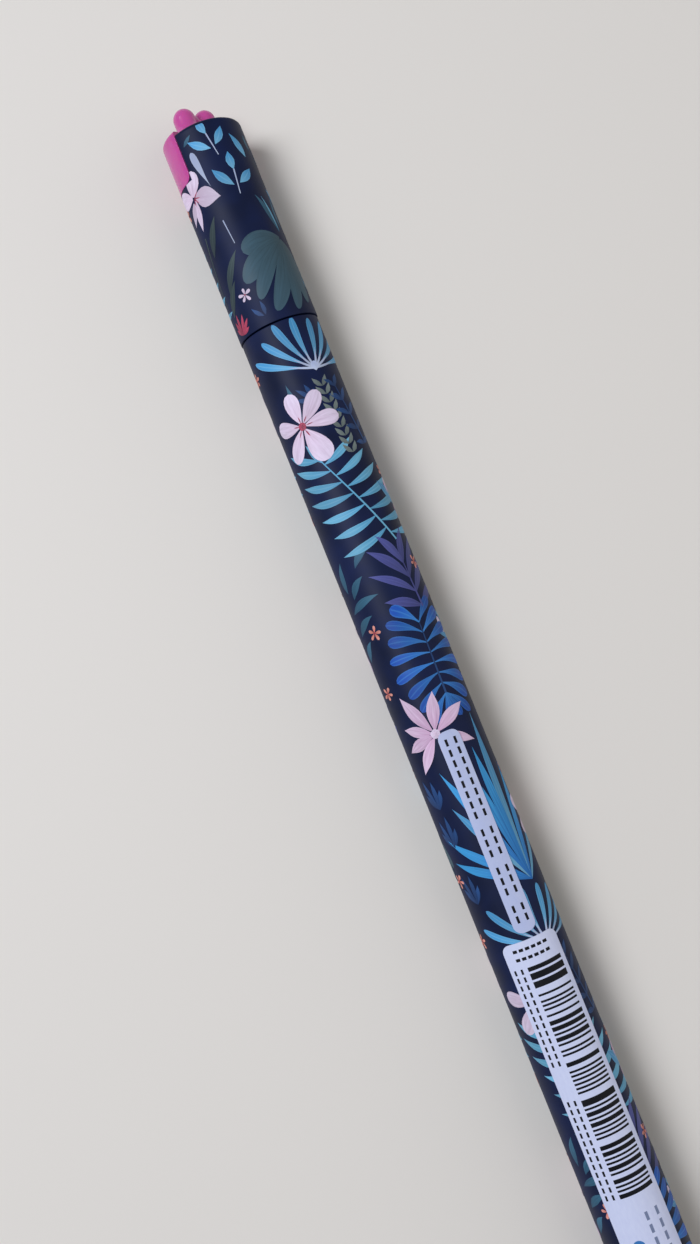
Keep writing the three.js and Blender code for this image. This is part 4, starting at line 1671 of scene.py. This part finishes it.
@dataclass
class Labels:
    """The two wrapped labels, with plain bars, dashes and a dot that say nothing."""

    thickness: float = 0.09
    lift: float = 0.06
    corner: float = 1.0
    price_turn: float = -3.0
    price_width: float = 6.9
    size_turn: float = -5.0
    size_width: float = 2.6
    mark_lift: float = 0.004
    mark_depth: float = 0.012
    bar_module: float = 0.25
    bars_length: float = 28.0
    dash_share: float = 0.66
    dot_radius: float = 0.7

    @property
    def radius(self) -> float:
        """Radius of the labels' faces."""
        return LINES.barrel + self.lift + self.thickness

    def build(self) -> None:
        """Builds both labels and their marks."""
        black = BLACK.material()
        front = span("price_label")[1]
        middle = math.radians(self.price_turn) * LINES.barrel
        self.label("price_label_stock", "price_label", middle, self.price_width, PAPER)
        marks = joined(self.bars(front - 3.0, middle) + self.rows_of_marks(front, middle))
        piece(marks, "price_label_bars", "barrel", [black])
        self.lower_marks(front, middle)
        front = span("size_label")[1]
        middle = math.radians(self.size_turn) * LINES.barrel
        self.label("size_label_film", "size_label", middle, self.size_width, FILM)
        groups = (8, 3, 3, 2)
        dashes = self.dashes(front - 0.9, middle - 0.05, groups, 1.26, 1.36, 0.3)
        piece(joined(dashes), "size_label_dashes", "barrel", [black])

    def label(
        self, name: str, node: str, middle: float, width: float, stock: LabelStock
    ) -> None:
        """Builds one label.

        Args:
            name: Name of the piece.
            node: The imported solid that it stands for.
            middle: Arc to its middle.
            width: Its width round the skin.
            stock: What it is made of.
        """
        around = (middle - width / 2, middle + width / 2)
        sheet = wrapped_plate(span(node), around, self.radius, LINES.barrel, self.corner, 0.2)
        thicken(sheet, self.thickness)
        piece(sheet, name, "barrel", [stock.material()], (node,))

    def mark(
        self, along: Place, around: Place, corner: float = 0.0, step: float = 0.25
    ) -> bmesh.types.BMesh:
        """One printed mark: a thin plate on the label.

        Args:
            along: Where it begins and ends down the pen.
            around: Where it begins and ends round the skin.
            corner: Radius of its corners.
            step: Largest step round the skin.

        Returns:
            The mark.
        """
        sheet = wrapped_plate(along, around, self.radius + self.mark_lift, LINES.barrel, corner, step)
        thicken(sheet, self.mark_depth)
        return sheet

    def bars(self, front: float, middle: float) -> list[bmesh.types.BMesh]:
        """A block of plain bars of chance widths.

        Args:
            front: Where the block begins, nearest the cap.
            middle: Arc to the label's middle.

        Returns:
            The bars.
        """
        rng = random.Random(5)
        around = (middle - 2.85, middle + 1.35)
        bars = []
        at = front
        while at > front - self.bars_length:
            wide = self.bar_module * rng.choice((1, 1, 1, 2, 2, 3))
            bars.append(self.mark((at - wide, at), around))
            at -= wide + self.bar_module * rng.choice((1, 1, 1, 2, 3))
        return bars

    def dashes(
        self, front: float, middle: float, groups: tuple[int, ...], pitch: float, height: float,
        stroke: float,
    ) -> list[bmesh.types.BMesh]:
        """Two plain dashed lines, side by side, broken into groups.

        Args:
            front: Where the lines begin, nearest the cap.
            middle: Arc to the middle of the two lines.
            groups: Dashes in each group.
            pitch: Distance from one dash to the next.
            height: Width of the pair of lines.
            stroke: Thickness of a dash.

        Returns:
            The dashes.
        """
        made = []
        at = front
        for count in groups:
            for _ in range(count):
                for edge in (middle - height / 2, middle + height / 2 - stroke):
                    made.append(self.mark((at - pitch * self.dash_share, at), (edge, edge + stroke)))
                at -= pitch
            at -= pitch * (1 - self.dash_share) * 2
        return made

    def rows_of_marks(self, front: float, middle: float) -> list[bmesh.types.BMesh]:
        """The two rows beside the bars and the short rows at the label's head.

        Args:
            front: The label's end nearest the cap.
            middle: Arc to the label's middle.

        Returns:
            The dashes.
        """
        beside = middle + 2.45
        made = self.dashes(front - 3.0, beside, (13,), 0.92, 1.05, 0.25)
        made += self.dashes(front - 18.8, beside, (13,), 0.94, 1.05, 0.25)
        pitch, length, stroke = 0.72, 0.5, 0.36
        for i in range(6):
            start = middle + 1.75 - i * pitch
            for edge in (front - 1.1, front - 2.1):
                made.append(self.mark((edge, edge + stroke), (start, start + length)))
        return made

    def lower_marks(self, front: float, middle: float) -> None:
        """The grey dashes and the blue dot on the label's lower end.

        Args:
            front: The label's end nearest the cap.
            middle: Arc to the label's middle.
        """
        start = front - 33.0
        aside = 1.35
        dashes = self.dashes(start, middle - aside, (8,), 1.5, 1.7, 0.36)
        piece(joined(dashes), "price_label_dashes", "barrel", [GREY_DASH.material()])
        dot_at, reach = start - 3.4, self.dot_radius
        dot = self.mark(
            (dot_at - reach, dot_at + reach), (middle + aside - reach, middle + aside + reach),
            reach * 0.999, 0.1,
        )
        piece(dot, "price_label_dot", "barrel", [BLUE_DOT.material()])


@dataclass
class Tail:
    """The tail: plug, eraser and the refill's cushion."""

    eraser_round: float = 0.9
    collar_groove: float = 0.12
    chip_count: int = 6
    chip_reach: float = 0.7
    chip_turn: float = 0.3
    chip_depth: float = 0.12

    def build(self) -> None:
        """Builds and dresses the tail."""
        piece(self.plug(), "tail_plug", "barrel", [NAVY.material()], ("rear_plug",))
        piece(self.eraser(), "tail_eraser", "barrel", [ERASER.material()], ("eraser",))
        dress("refill_cushion", FOAM.material())

    def plug(self) -> bmesh.types.BMesh:
        """The plug: socket for the eraser behind, collar, spigot and the cushion's post ahead.

        Returns:
            The plug.
        """
        rear, front = span("rear_plug")
        collar = LINES.barrel_rear - 0.1
        bore = LINES.barrel - 1.2
        outer = LINES.barrel
        socket, socket_end = 2.9, rear + 6.2
        post, cup, cup_floor = 2.4, 1.9, front - 1.5
        middle = (rear + collar) / 2
        groove = self.collar_groove
        outline = [
            (rear, socket), (rear, outer - 0.3), (rear + 0.3, outer), (middle - groove, outer),
            (middle, outer - groove), (middle + groove, outer), (collar, outer), (collar, bore),
            (front - 5.5, bore), (front - 5.5, post), (front, post), (front, cup), (cup_floor, cup),
            (cup_floor, 0.0), (socket_end, 0.0), (socket_end, socket),
        ]
        return turned(rounded(outline, 0.08))

    def eraser(self) -> bmesh.types.BMesh:
        """The eraser: a head with a softly worn end, and its stem.

        Returns:
            The eraser.
        """
        head_end = span("rear_plug")[0] - 0.1
        tail, stem_end = span("eraser")
        radius = half_height("eraser")
        stem = 2.8
        arc = [
            (
                tail + self.eraser_round * (1 - math.cos(turn)),
                radius - self.eraser_round * (1 - math.sin(turn)),
            )
            for turn in (math.pi / 2 * i / 8 for i in range(9))
        ]
        head = [(tail, 0.0), *arc, (head_end, radius), (head_end, stem)]
        bm = turned(head + [(stem_end, stem), (stem_end, 0.0)])
        rng = random.Random(3)
        chips = [(rng.uniform(0, WHOLE_TURN), rng.uniform(0.5, 1.1)) for _ in range(self.chip_count)]
        axis = Vector((0, 0, LINES.axis * MM))
        for vert in bm.verts:
            off = vert.co - axis
            edge = math.exp(-(((vert.co.x / MM - tail) / self.chip_reach) ** 2))
            edge *= (off.yz.length / MM / radius) ** 4
            angle = math.atan2(off.y, off.z)
            wear = 0.0
            for at, size in chips:
                away = (angle - at + math.pi) % WHOLE_TURN - math.pi
                wear += size * math.exp(-(away / self.chip_turn) ** 2)
            vert.co.x += self.chip_depth * wear * edge * MM
        return bm


@dataclass
class Nose:
    """The screwed nose: threaded skirt, flange, neck with a snap ring, ribbed grip and cone."""

    pitch: float = 1.0
    turns: float = 5.5
    thread_depth: float = 0.2
    steps_per_turn: int = 64
    rib_count: int = 5
    rib_depth: float = 0.07

    def build(self) -> None:
        """Builds the nose."""
        moulding = joined([self.body(), self.thread()])
        piece(moulding, "nose_moulding", "nose", [NAVY.material()], ("nose_cone",))

    def body(self) -> bmesh.types.BMesh:
        """The nose without its thread.

        Returns:
            The nose's body.
        """
        rear, front = span("nose_cone")
        skirt = LINES.barrel - 1.2 - self.thread_depth + 0.02
        flange = half_height("nose_cone")
        neck, grip, bore = flange - 0.3, flange - 0.85, 2.9
        flange_at = LINES.barrel_front + 0.1
        neck_at = flange_at + 0.8
        snap_at = neck_at + 2.1
        neck_end = neck_at + 3.5
        grip_at = neck_end + 0.55
        cone_at = front - 4.2
        shoulder = neck_at + 1.75
        tip_outer, tip_hole, room = 1.55, 1.1, 2.2
        ribs: Outline = []
        first = grip_at + 1.0
        gap = (cone_at - first - 0.6) / self.rib_count
        for i in range(self.rib_count):
            at = first + gap * i
            ribs += [(at - 0.18, grip), (at, grip - self.rib_depth), (at + 0.18, grip)]
        outline = [
            (rear, bore), (rear, skirt - 0.15), (rear + 0.3, skirt), (flange_at, skirt),
            (flange_at, flange), (neck_at, flange), (neck_at, neck), (snap_at, neck),
            (snap_at + 0.32, flange), (snap_at + 0.48, flange), (snap_at + 0.8, neck), (neck_end, neck),
            (grip_at, grip), *ribs, (cone_at, grip), (front, tip_outer), (front, tip_hole),
            (front - 1.26, tip_hole), (cone_at, room), (shoulder + 0.15, room), (shoulder, bore),
        ]
        return turned(rounded(outline, 0.1))

    def thread(self) -> bmesh.types.BMesh:
        """The right-handed screw thread, a crest swept up the skirt.

        Returns:
            The thread.
        """
        rear = span("nose_cone")[0] + 1.2
        root = LINES.barrel - 1.2 - self.thread_depth
        crest, sunk = root + self.thread_depth, 0.02
        bm = bmesh.new()
        section = [
            bm.verts.new((along * MM, 0, radius * MM))
            for along, radius in (
                (rear, root - sunk), (rear + 0.28 * self.pitch, crest),
                (rear + 0.44 * self.pitch, crest), (rear + 0.72 * self.pitch, root - sunk),
            )
        ]
        face = bm.faces.new(section)
        steps = int(self.turns * self.steps_per_turn)
        advance = self.pitch * self.turns / steps * MM
        bmesh.ops.spin(
            bm, geom=[face], cent=(0, 0, 0), axis=(1, 0, 0), dvec=(advance, 0, 0),
            angle=-self.turns * WHOLE_TURN, steps=steps,
        )
        bmesh.ops.recalc_face_normals(bm, faces=bm.faces)
        bmesh.ops.translate(bm, verts=bm.verts, vec=(0, 0, LINES.axis * MM))
        return bm


@dataclass
class Refill:
    """The refill: tube, ink, follower and plug, with its holder, metal tip, spring and ball."""

    shank: float = 1.0
    ball_radius: float = 0.35
    lip_reach: float = 0.15
    lip_radius: float = 0.4

    def build(self) -> None:
        """Builds the tip and the ball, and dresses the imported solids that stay."""
        piece(self.tip(), "writing_tip", "refill", [NICKEL.material()], ("metal_tip",))
        piece(self.ball(), "carbide_ball", "ball", [CARBIDE.material()], ("writing_ball",))
        natural = NATURAL.material()
        dress("tip_holder", natural)
        dress("refill_tail_plug", natural)
        dress("refill_tube", TUBE.material())
        dress("grease_follower", GREASE.material())
        dress("ink_column", GEL.material())
        dress("ball_spring", WIRE.material())

    def tip(self) -> bmesh.types.BMesh:
        """The metal tip: shank with a groove, stepped cone and crimped lip.

        Returns:
            The tip.
        """
        rear, lip = span("metal_tip")
        cone = lip - 3.0
        ball_at = lip - self.lip_reach
        socket = self.ball_radius + 0.03
        outline = [
            (rear, 0.55), (rear, self.shank), (cone - 0.9, self.shank), (cone - 0.75, self.shank - 0.06),
            (cone - 0.6, self.shank), (cone + 0.2, self.shank), (lip - 1.5, 0.72), (lip - 1.45, 0.68),
            (lip - 0.5, 0.53), (lip, self.lip_radius), (lip, self.lip_radius - 0.06), (ball_at, socket),
            (ball_at - 0.28, 0.26), (ball_at - 0.36, 0.16), (ball_at - 0.68, 0.16), (ball_at - 1.2, 0.55),
        ]
        return turned(rounded(outline, 0.05, 3), 96)

    def ball(self) -> bmesh.types.BMesh:
        """The writing ball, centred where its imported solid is.

        Returns:
            The ball.
        """
        bm = bmesh.new()
        bmesh.ops.create_uvsphere(bm, u_segments=48, v_segments=32, radius=self.ball_radius * MM)
        low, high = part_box("writing_ball")
        bmesh.ops.translate(bm, verts=bm.verts, vec=(low + high) / 2)
        return bm


def dress(node: str, material: bpy.types.Material) -> None:
    """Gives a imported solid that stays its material.

    Args:
        node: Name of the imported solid.
        material: Its material.
    """
    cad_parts[node].material_slots[0].material = material
    log.info("%s: keeps its packed shape, dressed in %s", node, material.name)


# ---------- Studio ----------
@dataclass
class Studio:
    """Camera, floor and soft lights. Lengths are in metres here."""

    camera_at: tuple[float, float, float] = (0.01442, 0.005115, 0.14581)
    roll: float = 21.91
    tilt: float = 1.73
    lens: float = 34.57
    sensor: float = 36.0
    floor_size: float = 4.0
    key_at: tuple[float, float, float] = (0.18, 0.28, 0.5)
    key_size: float = 0.3
    key_power: float = 2.9
    fill_at: tuple[float, float, float] = (-0.1, -0.45, 0.4)
    fill_size: float = 0.6
    fill_power: float = 0.9
    room_strength: float = 0.3

    def build(self) -> None:
        """Sets up the whole studio."""
        self.camera()
        self.floor()
        self.light("key", self.key_at, self.key_size, self.key_power, "#F4F7FF")
        self.light("fill", self.fill_at, self.fill_size, self.fill_power, "#FFF6EA")
        world = bpy.data.worlds.new("soft_room")
        bpy.context.scene.world = world
        world.use_nodes = True
        background = world.node_tree.nodes["Background"]
        background.inputs["Color"].default_value = linear("#E3E9F4")
        background.inputs["Strength"].default_value = self.room_strength
        bpy.context.scene.view_settings.view_transform = "Standard"

    def camera(self) -> None:
        """Looks down at the pen, rolled so that it lies across the picture."""
        data = bpy.data.cameras.new("camera")
        data.lens = self.lens
        data.sensor_width = self.sensor
        data.clip_start = 0.005
        camera = bpy.data.objects.new("camera", data)
        bpy.context.scene.collection.objects.link(camera)
        quarter_turn = 90.0
        turn = Matrix.Rotation(math.radians(-self.roll - quarter_turn), 4, "Z")
        lean = Matrix.Rotation(math.radians(-self.tilt), 4, "Y")
        camera.matrix_world = Matrix.Translation(self.camera_at) @ lean @ turn
        bpy.context.scene.camera = camera

    def floor(self) -> None:
        """A plain pale floor."""
        bm = bmesh.new()
        bmesh.ops.create_grid(bm, x_segments=1, y_segments=1, size=self.floor_size / 2)
        mesh = bpy.data.meshes.new("floor")
        bm.to_mesh(mesh)
        bm.free()
        floor = bpy.data.objects.new("floor", mesh)
        bpy.context.scene.collection.objects.link(floor)
        material, _, shader = new_material("painted_board", Roughness=0.7)
        shader.inputs["Base Color"].default_value = linear("#DDD8D0")
        mesh.materials.append(material)

    def light(
        self, name: str, at: tuple[float, float, float], size: float, power: float, colour: str
    ) -> None:
        """Hangs one soft light that faces the pen.

        Args:
            name: Its name.
            at: Its place.
            size: Its side.
            power: Its power in watts.
            colour: Its colour as hex.
        """
        data = bpy.data.lights.new(name, "AREA")
        data.size = size
        data.energy = power
        data.color = linear(colour)[:3]
        light = bpy.data.objects.new(name, data)
        bpy.context.scene.collection.objects.link(light)
        light.location = at
        light.rotation_euler = (-Vector(at)).to_track_quat("-Z", "Y").to_euler()


def main() -> None:
    """Builds the pen and the studio in order."""
    logging.basicConfig(level=logging.INFO, format="%(name)s %(message)s")
    for ink in PrintInk:
        INK_MATERIALS[ink] = ink.value.material()
    for part in (Cap(), Barrel(), Labels(), Tail(), Nose(), Refill(), Studio()):
        part.build()
        log.info("%s done", type(part).__name__)


if __name__ == "__main__":
    main()
